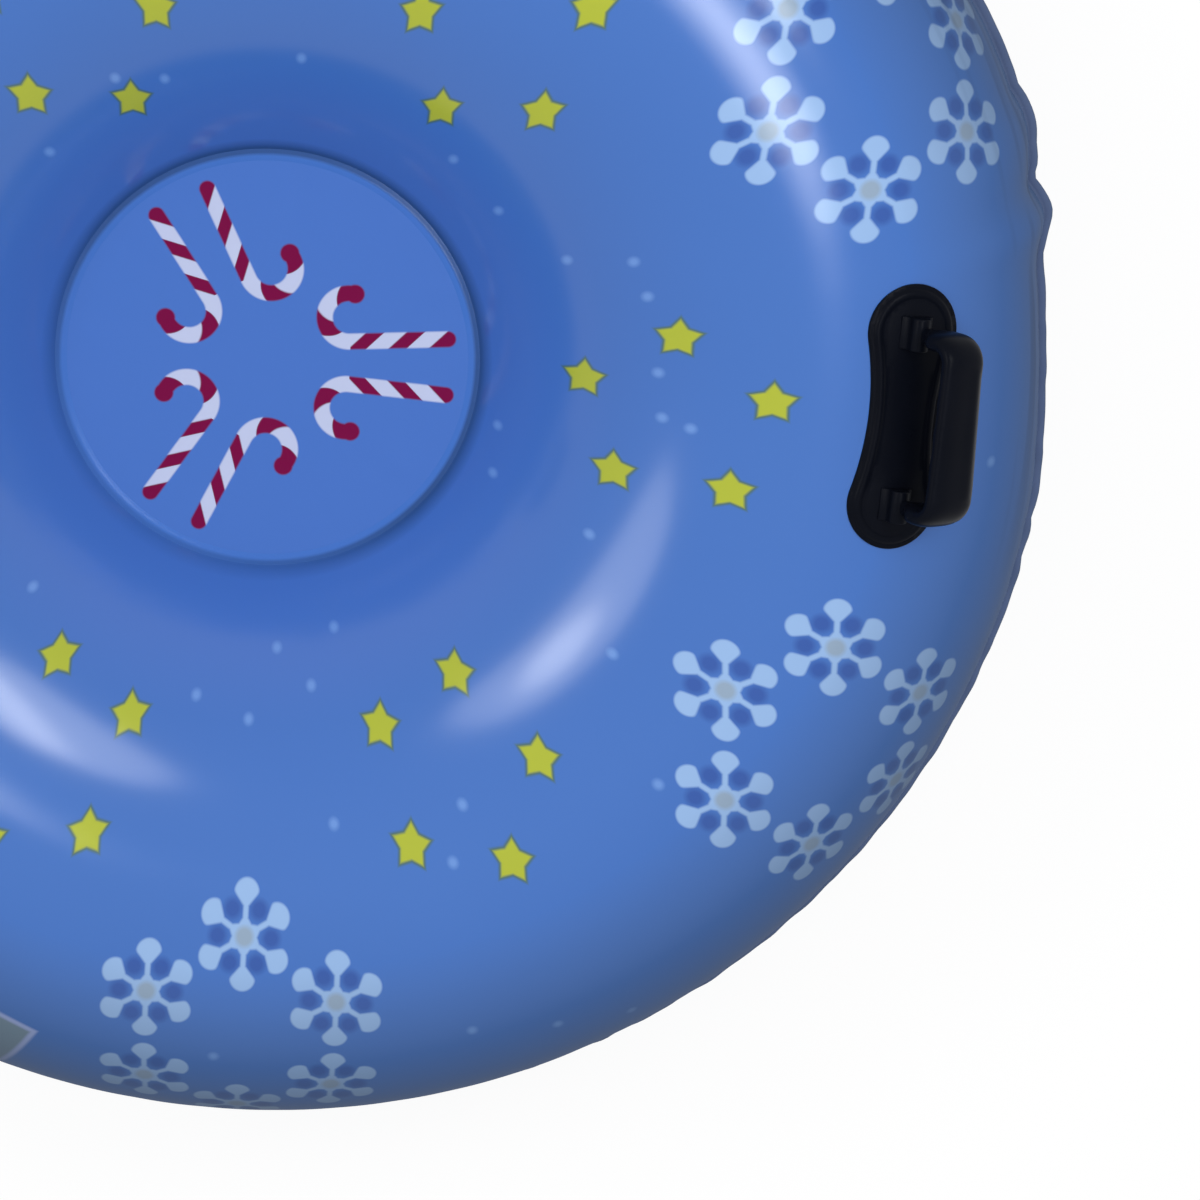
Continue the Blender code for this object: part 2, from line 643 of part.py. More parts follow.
def build_valve_tether(anchor, white):
    """Strap that keeps the cap: a ring round the collar's foot and a bowed tongue beside the cap."""
    inner = COLLAR_RADIUS + GAP
    outer = CAP_RADIUS + TETHER_THICKNESS
    top = TETHER_LEVEL + TETHER_THICKNESS
    outline = [(inner, TETHER_LEVEL), (outer, TETHER_LEVEL), (outer, top), (inner, top)]
    tether = add_object("valve_tether", turned(outline, VALVE_SIDES), white, anchor)
    start = -outer + TETHER_THICKNESS
    finish_level = CAP_UNDER + CAP_TOP - TETHER_THICKNESS
    half = TETHER_THICKNESS / 2
    upper, lower = [], []
    for step in range(TETHER_STEPS + 1):
        share = step / TETHER_STEPS
        turn = math.pi * share
        rise = (finish_level - TETHER_LEVEL - half) * (1 - math.cos(turn)) / 2
        out = TETHER_BOW * math.sin(turn)
        slope = math.atan2((finish_level - TETHER_LEVEL) * math.sin(turn) / 2, TETHER_BOW * math.cos(turn))
        across = start - out - GAP * share
        level = TETHER_LEVEL + half + rise
        upper.append((across + half * math.sin(slope), level + half * math.cos(slope)))
        lower.append((across - half * math.sin(slope), level - half * math.cos(slope)))
    tongue = add_object("tether_tongue", prism(upper + lower[::-1], TETHER_WIDTH), None, anchor)
    combine(tether, tongue, "UNION")


def build_valve(white, grey):
    """The air valve on the crest, from the skin outwards."""
    frame = valve_place(CREST_LEVEL)
    anchor = add_empty("valve_place", frame)
    build_valve_base(frame, anchor, white)
    build_valve_washer(anchor, grey)
    build_valve_insert(anchor, white)
    build_valve_flap(anchor, grey)
    build_valve_cap(anchor, white)
    build_valve_tether(anchor, white)


def build():
    """Model the whole tube."""
    clear_scene()
    printed = material("printed_pvc", PRINTED_BLUE, 0.28)
    plain = material("plain_pvc", UNDERSIDE_BLUE, 0.35)
    black = material("handle_pvc", HANDLE_BLACK, 0.30)
    white = material("valve_plastic", VALVE_WHITE, 0.40)
    grey = material("valve_rubber", SEAL_GREY, 0.60)
    build_skins(printed, plain)
    build_outer_seam(plain)
    build_seat(printed, plain)
    build_handles(black)
    build_valve(white, grey)


build()
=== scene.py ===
"""Looks of the inflated snow tube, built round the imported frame.

Everything is in metres, +Z up, resting on Z = 0, with the handles on the X axis.
"""

import math
import random

import bmesh
import bpy
import numpy
from mathutils import Matrix, Vector


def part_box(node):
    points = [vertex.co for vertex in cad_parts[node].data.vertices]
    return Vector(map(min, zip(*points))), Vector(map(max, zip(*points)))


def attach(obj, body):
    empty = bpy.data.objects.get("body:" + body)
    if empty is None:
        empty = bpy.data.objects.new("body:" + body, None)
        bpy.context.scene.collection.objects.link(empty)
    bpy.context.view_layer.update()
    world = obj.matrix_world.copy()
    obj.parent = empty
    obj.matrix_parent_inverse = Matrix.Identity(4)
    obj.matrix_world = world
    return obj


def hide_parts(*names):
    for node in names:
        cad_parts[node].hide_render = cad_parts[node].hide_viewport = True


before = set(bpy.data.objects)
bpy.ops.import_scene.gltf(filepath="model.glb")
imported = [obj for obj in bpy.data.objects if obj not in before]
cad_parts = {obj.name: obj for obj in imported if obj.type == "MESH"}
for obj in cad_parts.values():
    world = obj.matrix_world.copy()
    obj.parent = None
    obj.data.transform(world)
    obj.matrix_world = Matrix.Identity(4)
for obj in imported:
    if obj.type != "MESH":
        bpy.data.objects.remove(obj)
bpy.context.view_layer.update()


def plan_radius(node, pick):
    """Least or greatest distance of a node's corners from the tube's axis."""
    return pick(math.hypot(corner.co.x, corner.co.y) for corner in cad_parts[node].data.vertices)


# Sizes of the skins and welds, read from the frame
TUBE_RADIUS = plan_radius("top_skin", max)
SEAT_RADIUS = plan_radius("top_skin", min)
PANEL_RADIUS = plan_radius("seat_panel", max)
EQUATOR = (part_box("top_skin")[0].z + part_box("bottom_skin")[1].z) / 2
FOOT_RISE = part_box("top_skin")[0].z - EQUATOR
REST_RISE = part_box("bottom_skin")[1].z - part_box("bottom_skin")[0].z
PANEL_HALF = (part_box("seat_panel")[1].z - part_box("seat_panel")[0].z) / 2
FLANGE_REACH = plan_radius("outer_seam", max)

# Skins
TOP_WALL = 0.0008
BOTTOM_WALL = 0.0012
AROUND = 720
PROFILE_STEPS = 52
PROFILE_CROWDING = 1.5
TABLE_STEPS = 4000
HALVINGS = 50
SINK = 0.0004

# Gathers along the outer seam
GATHER_SEED = 11
GATHER_COUNT = 76
GATHER_DEPTH = 0.0030
GATHER_WIDTH = 0.0065
GATHER_SPREAD = 0.16
GATHER_LENGTH = 0.034
GATHER_FADE = 1.4
GATHER_SHARPNESS = 1.5
GATHER_JITTER = 0.38
GATHER_STRENGTHS = (0.04, 0.26)
GATHER_LENGTHS = (0.5, 1.3)
# Deep gathers: azimuth, strength and length
DEEP_GATHERS = ((15.2, 1.15, 0.052), (9.4, 0.45, 0.040), (22.0, 0.35, 0.040), (-10.4, 0.60, 0.030),
                (-13.6, 0.50, 0.026))
# Where the tube's plan swells past a circle, or flattens: azimuth, amount outward and half angle
SWELLS = ((-68.0, 0.0094, 52.0), (25.0, 0.0022, 6.0), (19.2, 0.0052, 3.0), (12.5, 0.0066, 1.7),
          (5.0, -0.0062, 8.0), (-3.0, -0.0022, 5.0))
SWELL_REACH = 0.075
SWELL_FADE = 1.6
RIPPLE_COUNTS = (118, 73)
RIPPLE_LIFT = 0.0004

# Welds: how much thinner they are than the sheets, and how far they lap the skins
WELD_THINNING = 0.0003
WELD_LAP = 0.004
# The outer weld: its trim, its groove outward from the seam and its edge inward, with shares of the height
WELD_TRIM = 0.0008
WELD_GROOVE = ((0.0006, 1.0), (0.0011, 0.72), (0.0019, 0.72), (0.0024, 1.0))
WELD_EDGE = ((0.0010, 1.0), (0.0003, 0.55), (0.0, 0.0))
# The inner weld: a low roll from the seam to the panel's edge, which it laps
ROLL_STEPS = 12
ROLL_RISE = 0.0005
ROLL_OUTER = -0.0004
ROLL_INNER = 0.0003
ROLL_LAP = 0.0012
ROLL_SINK = 0.0002

# Seat panel: strain waves at its edge, as count, strength and shift, and its sag
SEAT_LAP = 0.0002
SEAT_RINGS = 30
SEAT_WAVES = ((17, 1.0, 0), (29, 0.7, 2), (41, 0.5, 4))
SEAT_WAVE_SLOPE = 0.016
SEAT_WAVE_REACH = 0.018
SEAT_WAVE_FADE = 1.3
SEAT_SAG = 0.0012

# Print: the artwork's own axes are turned a little against the handles
ART_TURN = math.radians(-1.0)
PRINT_ARC = 0.200
PRINT_REACH = 0.334
PRINT_PACE = 0.896
PRINT_GAIN = 0.242
STAR_GROUPS = ((0.299, -0.003), (0.153, -0.274), (-0.148, -0.2735), (0.1605, 0.2625), (-0.139, 0.258),
               (-0.302, -0.004))
STAR_CIRCLE = 0.0588
STAR_RADIUS = 0.0136
STAR_WAIST_SHARE = 0.60
STAR_EDGE = 0.0017
STAR_BLUR = 0.0017
FLAKE_GROUPS = ((0.3935, -0.2294), (0.399, 0.2357), (-0.0013, -0.4583), (-0.396, -0.231), (0.0, 0.459),
                (-0.397, 0.234))
FLAKE_CIRCLE = 0.0758
FLAKE_GROUP_TURN = -0.028
FLAKE_RADIUS = 0.0330
FLAKE_ARM_HALF = 0.0018
FLAKE_FAN_START = 0.0162
FLAKE_FAN_MIDDLE = 0.0257
FLAKE_FAN_RADIUS = 0.0088
FLAKE_FAN_HALF = math.radians(41)
FLAKE_FAN_SOFT = 0.0020
FLAKE_HUB_TIP = 0.0135
FLAKE_HUB_WAIST = 0.0088
FLAKE_EYE = 0.0062
FLAKE_BLUR = 0.0017
BLOT_REACH = 0.0188
BLOT_RADIUS = 0.0060
BLOT_BLUR = 0.0045
SPECK_RADIUS = 0.0032
SPECKS = ((-0.115, 0.226), (-0.080, 0.227), (-0.165, 0.168), (0.138, 0.175), (0.174, 0.137),
          (0.225, 0.105), (0.267, 0.109), (0.278, 0.084), (0.289, 0.028), (0.293, -0.005),
          (0.310, -0.010), (0.180, -0.075), (0.249, -0.101), (0.261, -0.179), (0.285, -0.259),
          (0.060, -0.201), (0.016, -0.217), (-0.044, -0.246), (0.044, -0.238), (-0.003, -0.260),
          (0.063, -0.315), (0.155, -0.293), (0.147, -0.328), (-0.172, -0.168), (0.160, -0.444),
          (0.221, -0.445), (0.277, -0.446), (-0.019, -0.469), (0.497, -0.028), (0.182, -0.039),
          (-0.244, 0.099), (-0.267, 0.122), (-0.239, -0.084), (-0.295, 0.020), (-0.305, -0.032),
          (-0.347, -0.109), (-0.252, -0.191), (-0.176, 0.431), (-0.254, 0.421), (0.021, 0.247),
          (0.051, 0.303), (0.196, 0.431), (-0.460, 0.059), (-0.489, -0.039))

# Canes on the seat, drawn beside the first of three axes and mirrored across it
CANE_HALF = 0.0051
CANE_BEND = (0.0503, 0.0292)
CANE_BEND_RADIUS = 0.0155
CANE_LEAN = math.radians(4.0)
CANE_STRAIGHT = 0.0620
CANE_TIP_RADIUS = 0.0060
CANE_HOOK = math.radians(196.0)
STRIPE_PERIOD = 0.0260
STRIPE_SHARE = 0.46
STRIPE_SLANT = 1.15
HOOK_PACE = 0.88
HOOK_SLANT = 0.6

# Bare printed label between two flake groups: azimuth of its middle, and its place outward along that
LABEL_AZIMUTH = math.radians(-120.0)
LABEL_INNER = 0.4667
LABEL_OUTER = 0.5640
LABEL_HALF_WIDTH = 0.1063
LABEL_BORDER = 0.0040

# Colours, linear
SHEET_BLUE = (0.037, 0.134, 0.445, 1)
SHEET_BLUE_DEEP = (0.030, 0.118, 0.405, 1)
# Painted shade for the rim, where the sheet turns away from the eye
EDGE_SHADE_BLUE = (0.068, 0.094, 0.143, 1)
# Blue lifted by a painted reflection of the opposite wall: the recess, the seat and the inner weld take it
RECESS_REFLECTION_BLUE = (0.049, 0.138, 0.452, 1)
# Painted shade in the crease round the seat
SEAM_SHADE = (0.0245, 0.073, 0.230, 1)
# Painted shade on the dark sides of the rim's creases
CREASE_SHADE = (0.034, 0.052, 0.100, 1)
UNDER_BLUE = (0.026, 0.096, 0.350, 1)
UNDER_BLUE_DEEP = (0.022, 0.082, 0.310, 1)
WELD_BLUE = (0.092, 0.128, 0.230, 1)
STAR_YELLOW = (0.345, 0.390, 0.017, 1)
STAR_GREEN = (0.045, 0.110, 0.105, 1)
FLAKE_PALE = (0.240, 0.385, 0.640, 1)
BLOT_BLUE = (0.014, 0.070, 0.310, 1)
FLAKE_EYE_GREY = (0.225, 0.310, 0.420, 1)
WELD_BLUE_DEEP = (0.074, 0.104, 0.192, 1)
SPECK_PALE = (0.130, 0.270, 0.600, 1)
CANE_RED = (0.155, 0.0040, 0.046, 1)
CANE_WHITE = (0.430, 0.475, 0.650, 1)
LABEL_GREY = (0.150, 0.218, 0.265, 1)
LABEL_PALE = (0.300, 0.370, 0.640, 1)
HANDLE_BLACK = (0.0020, 0.0028, 0.0056, 1)
HANDLE_WORN = (0.0036, 0.0043, 0.0076, 1)
VALVE_WHITE = (0.660, 0.675, 0.690, 1)
VALVE_TINT = (0.62, 0.63, 0.62, 1)
SEAL_GREY = (0.160, 0.165, 0.170, 1)
SEAL_DARK = (0.12, 0.12, 0.12, 1)


# Blender helpers

def start(kind, **settings):
    """Add a primitive with nothing else selected, and enter edit mode on it."""
    if bpy.context.object and bpy.context.object.mode != "OBJECT":
        bpy.ops.object.mode_set(mode="OBJECT")
    bpy.ops.object.select_all(action="DESELECT")
    getattr(bpy.ops.mesh, f"primitive_{kind}_add")(**settings)
    bpy.ops.object.mode_set(mode="EDIT")
    return bpy.context.object


def leave(name):
    """Leave edit mode, name the piece, and put its place into its mesh."""
    bpy.ops.object.mode_set(mode="OBJECT")
    bpy.ops.object.transform_apply(location=True, rotation=True, scale=True)
    piece = bpy.context.object
    piece.name = name
    piece.data.name = name
    return piece


def draw(points):
    """Draw one vertex out along points, as a line of edges."""
    points = [Vector(point) for point in points]
    piece = start("plane", size=SINK, location=points[0])
    bpy.ops.mesh.merge(type="CENTER")
    for here, there in zip(points, points[1:]):
        bpy.ops.mesh.extrude_region_move(TRANSFORM_OT_translate={"value": there - here})
    return piece


def spin(points, steps, closed=False, centre=(0, 0, 0)):
    """Turn a section of (radius, height) points about the upright axis through a centre."""
    middle = Vector(centre)
    section = [middle + Vector((radius, 0, height)) for radius, height in points]
    draw(section + section[:1] if closed else section)
    merge_doubles()
    bpy.ops.mesh.spin(steps=steps, angle=2 * math.pi, center=middle, axis=(0, 0, 1))
    merge_doubles()
    face_outward()


def merge_doubles():
    """Merge the corners that lie on each other, of the piece in edit mode."""
    bpy.ops.mesh.select_all(action="SELECT")
    bpy.ops.mesh.remove_doubles(threshold=SINK / 100)


def face_outward():
    """Turn all faces of the piece in edit mode outward."""
    bpy.ops.mesh.select_all(action="SELECT")
    bpy.ops.mesh.normals_make_consistent(inside=False)


def pull_outline(points, way):
    """Draw a closed outline, fill it with a face, and pull that out into a solid."""
    draw(points)
    bpy.ops.mesh.select_all(action="SELECT")
    bpy.ops.mesh.edge_face_add()
    bpy.ops.mesh.extrude_region_move(TRANSFORM_OT_translate={"value": way})
    face_outward()


def start_block(centre, size):
    """Start a box at a centre, with its three sizes."""
    start("cube", size=1, location=centre)
    bpy.ops.transform.resize(value=size)


def combine(piece, other, operation="UNION"):
    """Make another piece part of this one, or cut it out of this one."""
    use(piece, "BOOLEAN", operation=operation, solver="EXACT", object=other)
    bpy.data.objects.remove(other, do_unlink=True)


def activate(piece):
    """Select one piece alone, and make it the active one."""
    bpy.ops.object.select_all(action="DESELECT")
    piece.select_set(True)
    bpy.context.view_layer.objects.active = piece


def use(piece, kind, **settings):
    """Add a modifier, set it and apply it."""
    activate(piece)
    change = piece.modifiers.new(kind.lower(), kind)
    for name, value in settings.items():
        setattr(change, name, value)
    bpy.ops.object.modifier_apply(modifier=change.name)


def smooth(piece, degrees=40):
    """Shade a piece smooth, with edges sharper than an angle kept."""
    activate(piece)
    bpy.ops.object.shade_smooth_by_angle(angle=math.radians(degrees))


def corners_of(piece):
    """Corner places of a piece as an array."""
    places = numpy.empty(len(piece.data.vertices) * 3)
    piece.data.vertices.foreach_get("co", places)
    return places.reshape(-1, 3)


def plan_of(places):
    """Distances of points from the tube's axis, and their azimuths."""
    return numpy.hypot(places[:, 0], places[:, 1]), numpy.arctan2(places[:, 1], places[:, 0])


def set_corners(piece, places):
    """Move a piece's corners to new places."""
    piece.data.vertices.foreach_set("co", numpy.asarray(places, dtype=numpy.float32).ravel())
    piece.data.update()


def finish_piece(piece, body, slot, finish, *nodes):
    """Give a piece its material, the body that it rides on and the nodes that it stands for."""
    piece.data.materials.clear()
    piece.data.materials.append(finish)
    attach(piece, body)
    if nodes:
        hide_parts(*nodes)
    return piece


# The inflated profile: sin(slope) = (r*r - c*c) / (R*R - c*c), with the crest at c

def slope_at(radius, crest):
    """Outward lean of the skin at a radius."""
    share = (radius ** 2 - crest ** 2) / (TUBE_RADIUS ** 2 - crest ** 2)
    return math.asin(max(-1.0, min(1.0, share)))


def skin_table(crest):
    """Radii from the inner to the outer seam, with their slopes and heights above the seams."""
    spread = TUBE_RADIUS ** 2 - crest ** 2
    slopes = numpy.linspace(slope_at(SEAT_RADIUS, crest), math.pi / 2, TABLE_STEPS)
    radii = numpy.sqrt(crest ** 2 + spread * numpy.sin(slopes))
    fall = spread * numpy.sin(slopes) / (2 * radii)
    pieces = (fall[1:] + fall[:-1]) / 2 * numpy.diff(slopes)
    heights = numpy.append(numpy.cumsum(pieces[::-1])[::-1], 0.0)
    return radii, slopes, heights


def find_crest():
    """The crest radius at which the skin comes back down to the inner seam."""
    low = SEAT_RADIUS
    high = math.sqrt((TUBE_RADIUS ** 2 + SEAT_RADIUS ** 2) / 2)
    for _ in range(HALVINGS):
        middle = (low + high) / 2
        if skin_table(middle)[2][0] > 0:
            low = middle
        else:
            high = middle
    return (low + high) / 2


CREST = find_crest()
RADII, SLOPES, HEIGHTS = skin_table(CREST)
ARCS = numpy.append(0.0, numpy.cumsum(numpy.hypot(numpy.diff(RADII), numpy.diff(HEIGHTS))))


def rise_at(radius):
    """Height of a skin's outside above its seam edge."""
    return numpy.interp(radius, RADII, HEIGHTS)


def gathers():
    """Where the outer seam is gathered: azimuth, strength and length of each crease."""
    dice = random.Random(GATHER_SEED)
    step = 2 * math.pi / GATHER_COUNT
    found = []
    for index in range(GATHER_COUNT):
        azimuth = (index + dice.uniform(-GATHER_JITTER, GATHER_JITTER)) * step
        strength = dice.uniform(*GATHER_STRENGTHS)
        length = GATHER_LENGTH * dice.uniform(*GATHER_LENGTHS)
        found.append((azimuth, strength, length))
    deep = [(math.radians(azimuth), strength, length) for azimuth, strength, length in DEEP_GATHERS]
    return found + deep


GATHERS = gathers()


def turn_from(place, azimuth):
    """Turn from a place on the ring to an azimuth, the short way round."""
    return (azimuth - place + math.pi) % (2 * math.pi) - math.pi


def gather_at(azimuth, distance):
    """How far the gathers draw the skin in, at an azimuth and a distance along it from the seam."""
    width = GATHER_WIDTH + GATHER_SPREAD * distance
    drawn = numpy.zeros_like(azimuth)
    for place, strength, length in GATHERS:
        away = turn_from(place, azimuth) * TUBE_RADIUS
        along = numpy.exp(-(distance / length) ** GATHER_FADE)
        drawn += strength * along / (1 + (away / width) ** 2) ** GATHER_SHARPNESS
    swell = numpy.zeros_like(azimuth)
    for place, amount, half_angle in SWELLS:
        away = turn_from(math.radians(place), azimuth)
        swell += amount * numpy.exp(-(away / math.radians(half_angle)) ** 2)
    return GATHER_DEPTH * drawn - swell * numpy.exp(-(distance / SWELL_REACH) ** SWELL_FADE)


def ripple_at(azimuth, distance):
    """Small up and down wave of the free weld."""
    many, few = RIPPLE_COUNTS
    wave = numpy.sin(many * azimuth) + numpy.sin(few * azimuth + 1)
    return RIPPLE_LIFT * wave * numpy.exp(-distance / GATHER_WIDTH)


# Skins and welds

def skin_section(side):
    """Profile points of one skin, closer together towards the outer seam."""
    shares = numpy.linspace(0, 1, PROFILE_STEPS + 1)
    arcs = ARCS[-1] * (1 - (1 - shares) ** PROFILE_CROWDING)
    radii = numpy.interp(arcs, ARCS, RADII)
    heights = numpy.interp(arcs, ARCS, HEIGHTS)
    if side < 0:
        heights = numpy.minimum(heights, REST_RISE)
    level = EQUATOR + side * (FOOT_RISE - SINK)
    return [(float(radius), float(level + side * height)) for radius, height in zip(radii, heights)]


def flat_places(places):
    """Where points of the upper skin lie in the flat artwork, which the air stretches outward."""
    radius, azimuth = plan_of(places)
    turn = azimuth - ART_TURN
    beyond = numpy.interp(radius, RADII, ARCS) - PRINT_ARC
    flat = PRINT_REACH + PRINT_PACE * beyond + PRINT_GAIN * beyond ** 2
    return numpy.stack([flat * numpy.cos(turn), flat * numpy.sin(turn)], 1)


def build_skin(name, side, wall, valve=None):
    """One inflated skin: spun from its section, gathered along the outer seam, and given its wall."""
    spin(skin_section(side), AROUND)
    piece = leave(name)
    if piece.data.polygons[0].normal.z * side < 0:
        piece.data.flip_normals()
    places = corners_of(piece)
    flat = flat_places(places)
    radius, azimuth = plan_of(places)
    slope = numpy.interp(radius, RADII, SLOPES)
    distance = ARCS[-1] - numpy.interp(radius, RADII, ARCS)
    drawn = gather_at(azimuth, distance)
    out = 1 - drawn * numpy.sin(slope) / radius
    places[:, :2] *= out[:, None]
    places[:, 2] += ripple_at(azimuth, distance) - side * drawn * numpy.cos(slope)
    set_corners(piece, places)
    layer = piece.data.uv_layers.new(name="flat")
    owners = numpy.empty(len(piece.data.loops), dtype=numpy.int32)
    piece.data.loops.foreach_get("vertex_index", owners)
    layer.uv.foreach_set("vector", flat[owners].astype(numpy.float32).ravel())
    if valve is not None:
        open_hole(piece, valve)
    use(piece, "SOLIDIFY", thickness=wall, offset=-1, use_rim=True)
    smooth(piece, 60)
    return piece


def open_hole(piece, valve):
    """Open the round hole under the valve's flange."""
    bpy.ops.object.mode_set(mode="EDIT")
    mesh = bmesh.from_edit_mesh(piece.data)
    inside = [face for face in mesh.faces
              if math.hypot(face.calc_center_median().x - valve.x, face.calc_center_median().y - valve.y)
              < VALVE_HOLE]
    bmesh.ops.delete(mesh, geom=inside, context="FACES")
    for corner in mesh.verts:
        away = Vector((corner.co.x - valve.x, corner.co.y - valve.y))
        if corner.is_boundary and away.length < 2 * VALVE_HOLE:
            corner.co.x = valve.x + away.x * VALVE_HOLE / away.length
            corner.co.y = valve.y + away.y * VALVE_HOLE / away.length
    bmesh.update_edit_mesh(piece.data)
    bpy.ops.object.mode_set(mode="OBJECT")


def build_outer_weld():
    """The free edge of the two sheets, welded together and gathered with the skins."""
    edge = FLANGE_REACH + WELD_TRIM
    half = FOOT_RISE - WELD_THINNING
    section = [(TUBE_RADIUS - WELD_LAP, half)]
    section += [(TUBE_RADIUS + out, half * share) for out, share in WELD_GROOVE]
    section += [(edge - back, half * share) for back, share in WELD_EDGE]
    outline = section + [(radius, -rise) for radius, rise in section[-2::-1]]
    spin([(radius, EQUATOR + rise) for radius, rise in outline], AROUND, closed=True)
    piece = leave("outer_weld")
    places = corners_of(piece)
    radius, azimuth = plan_of(places)
    zero = numpy.zeros_like(radius)
    free = numpy.clip((radius - TUBE_RADIUS) / (edge - TUBE_RADIUS), 0, 1)
    out = 1 - gather_at(azimuth, zero) / radius
    places[:, :2] *= out[:, None]
    places[:, 2] += ripple_at(azimuth, zero) * (1 + free)
    set_corners(piece, places)
    smooth(piece, 50)
    return piece


def build_inner_weld():
    """The ring that welds the seat panel between the skins: a low roll over the panel's edge."""
    half = FOOT_RISE - WELD_THINNING
    outer = SEAT_RADIUS + ROLL_OUTER
    inner = PANEL_RADIUS + ROLL_INNER
    section = [(SEAT_RADIUS + WELD_LAP, half), (SEAT_RADIUS + ROLL_SINK, half)]
    for step in range(ROLL_STEPS + 1):
        share = step / ROLL_STEPS
        section.append((outer + (inner - outer) * share, half + ROLL_RISE * math.sin(math.pi * share)))
    section.append((PANEL_RADIUS - ROLL_LAP, PANEL_HALF - ROLL_SINK))
    outline = section + [(radius, -rise) for radius, rise in section[::-1]]
    spin([(radius, EQUATOR + rise) for radius, rise in outline], AROUND // 2, closed=True)
    piece = leave("inner_weld")
    smooth(piece, 50)
    return piece


def build_seat():
    """The seat panel, drawn flat between the welds, with faint strain waves at its edge."""
    radius = PANEL_RADIUS + SEAT_LAP
    centre = (0, 0, EQUATOR + PANEL_HALF)
    start("circle", vertices=AROUND // 4, radius=radius, fill_type="NGON", location=centre)
    for _ in range(SEAT_RINGS):
        bpy.ops.mesh.inset(thickness=radius / (SEAT_RINGS + 1.5), depth=0)
    bpy.ops.mesh.poke()
    piece = leave("seat")
    places = corners_of(piece)
    away, azimuth = plan_of(places)
    inward = numpy.maximum(radius - away, 0)
    fade = numpy.exp(-(inward / SEAT_WAVE_REACH) ** SEAT_WAVE_FADE)
    waves = sum(strength * numpy.sin(count * azimuth + shift) for count, strength, shift in SEAT_WAVES)
    places[:, 2] += SEAT_WAVE_SLOPE * waves * fade * inward
    places[:, 2] -= SEAT_SAG * (1 - (away / radius) ** 2)
    set_corners(piece, places)
    use(piece, "SOLIDIFY", thickness=2 * PANEL_HALF, offset=-1, use_rim=True)
    smooth(piece, 50)
    return piece


# Handles
HANDLE_OUTSET = 0.0424
HANDLE_TURN = math.radians(4.0)
PAD_LOBE_RADIUS = 0.029
PAD_LOBE_OFFSET = 0.053
PAD_WAIST_HALF = 0.0225
WAIST_STEPS = 12
LOBE_STEPS = 20
PAD_EDGE = 0.0007
# Steps inward over the pad: width and rise of the welded border, the rolled rim and the dish inside it
PAD_STEPS = ((0.0004, 0.0003), (0.0026, 0.0001), (0.0007, 0.0008), (0.0010, 0.0006), (0.0012, 0.0002),
             (0.0012, -0.0002), (0.0010, -0.0005), (0.0008, -0.0003), (0.0030, 0.0))
PAD_GRID = 0.004
PAD_CUTS = ((21, (0, 1, 0)), (7, (1, 0, 0)))
PAD_TOP = 0.0009
PAD_DOME_RADIUS = 0.0205
PAD_DOME = 0.0011
KNUCKLE_OFFSET = 0.053
KNUCKLE_LENGTH = 0.020
KNUCKLE_RADIUS = 0.006
KNUCKLE_AXIS = 0.0085
KNUCKLE_FOOT = 0.0100
KNUCKLE_STEPS = 16
KNUCKLE_EASE = 0.0024
# Side of a knuckle below its round top: across and up
KNUCKLE_SIDE = ((KNUCKLE_RADIUS, 0.0068), (KNUCKLE_RADIUS + 0.0012, 0.0045), (KNUCKLE_FOOT, 0.0026),
                (KNUCKLE_FOOT, 0.0010))
GRIP_RISE = 0.038
GRIP_LEAN = math.radians(23.0)
GRIP_CORNER = 0.012
GRIP_HALF_WIDTH = 0.0155
GRIP_HALF_DEPTH = 0.0062
GRIP_FOOT_WIDTH = 0.0036
GRIP_FOOT_DEPTH = 0.0050
GRIP_FLARE = 0.016
GRIP_SIDES = 40
GRIP_SQUARENESS = 2.6
GRIP_STEPS = (10, 12, 24)
FINGER_GROOVE = 0.0009
FINGER_COUNT = 4
# Ridge along the top of the bar: height, place and width as shares of the bar's half width, and run-out
RIDGE_HEIGHT = 0.0009
RIDGE_PLACE = 0.52
RIDGE_WIDTH = 0.22
RIDGE_FADE = 0.25
GRIP_SKEW = 0.0046
GRIP_SKEW_START = 0.034
CLEARANCE = 0.0003
EASED_ANGLE = math.radians(50)


def skin_frame(radius, azimuth, turn):
    """Axes on the upper skin: X outward down the slope, Y along the ring, Z square to the skin."""
    level = EQUATOR + FOOT_RISE + float(rise_at(radius))
    place = Matrix.Rotation(azimuth, 4, "Z") @ Matrix.Translation((radius, 0, level))
    lean = Matrix.Rotation(slope_at(radius, CREST), 4, "Y")
    return place @ lean @ Matrix.Rotation(-turn, 4, "Z")


def sag_under(place, across, along):
    """How far the upper skin lies below a frame's own plane at points of that plane."""
    low = numpy.full_like(across, -REST_RISE / 2)
    high = numpy.full_like(across, REST_RISE / 2)
    turn = numpy.array(place)[:3, :3]
    base = numpy.array(place)[:3, 3]
    for _ in range(HALVINGS):
        middle = (low + high) / 2
        points = numpy.stack([across, along, middle], 1) @ turn.T + base
        above = points[:, 2] > EQUATOR + FOOT_RISE + rise_at(numpy.hypot(points[:, 0], points[:, 1]))
        high = numpy.where(above, middle, high)
        low = numpy.where(above, low, middle)
    return -high


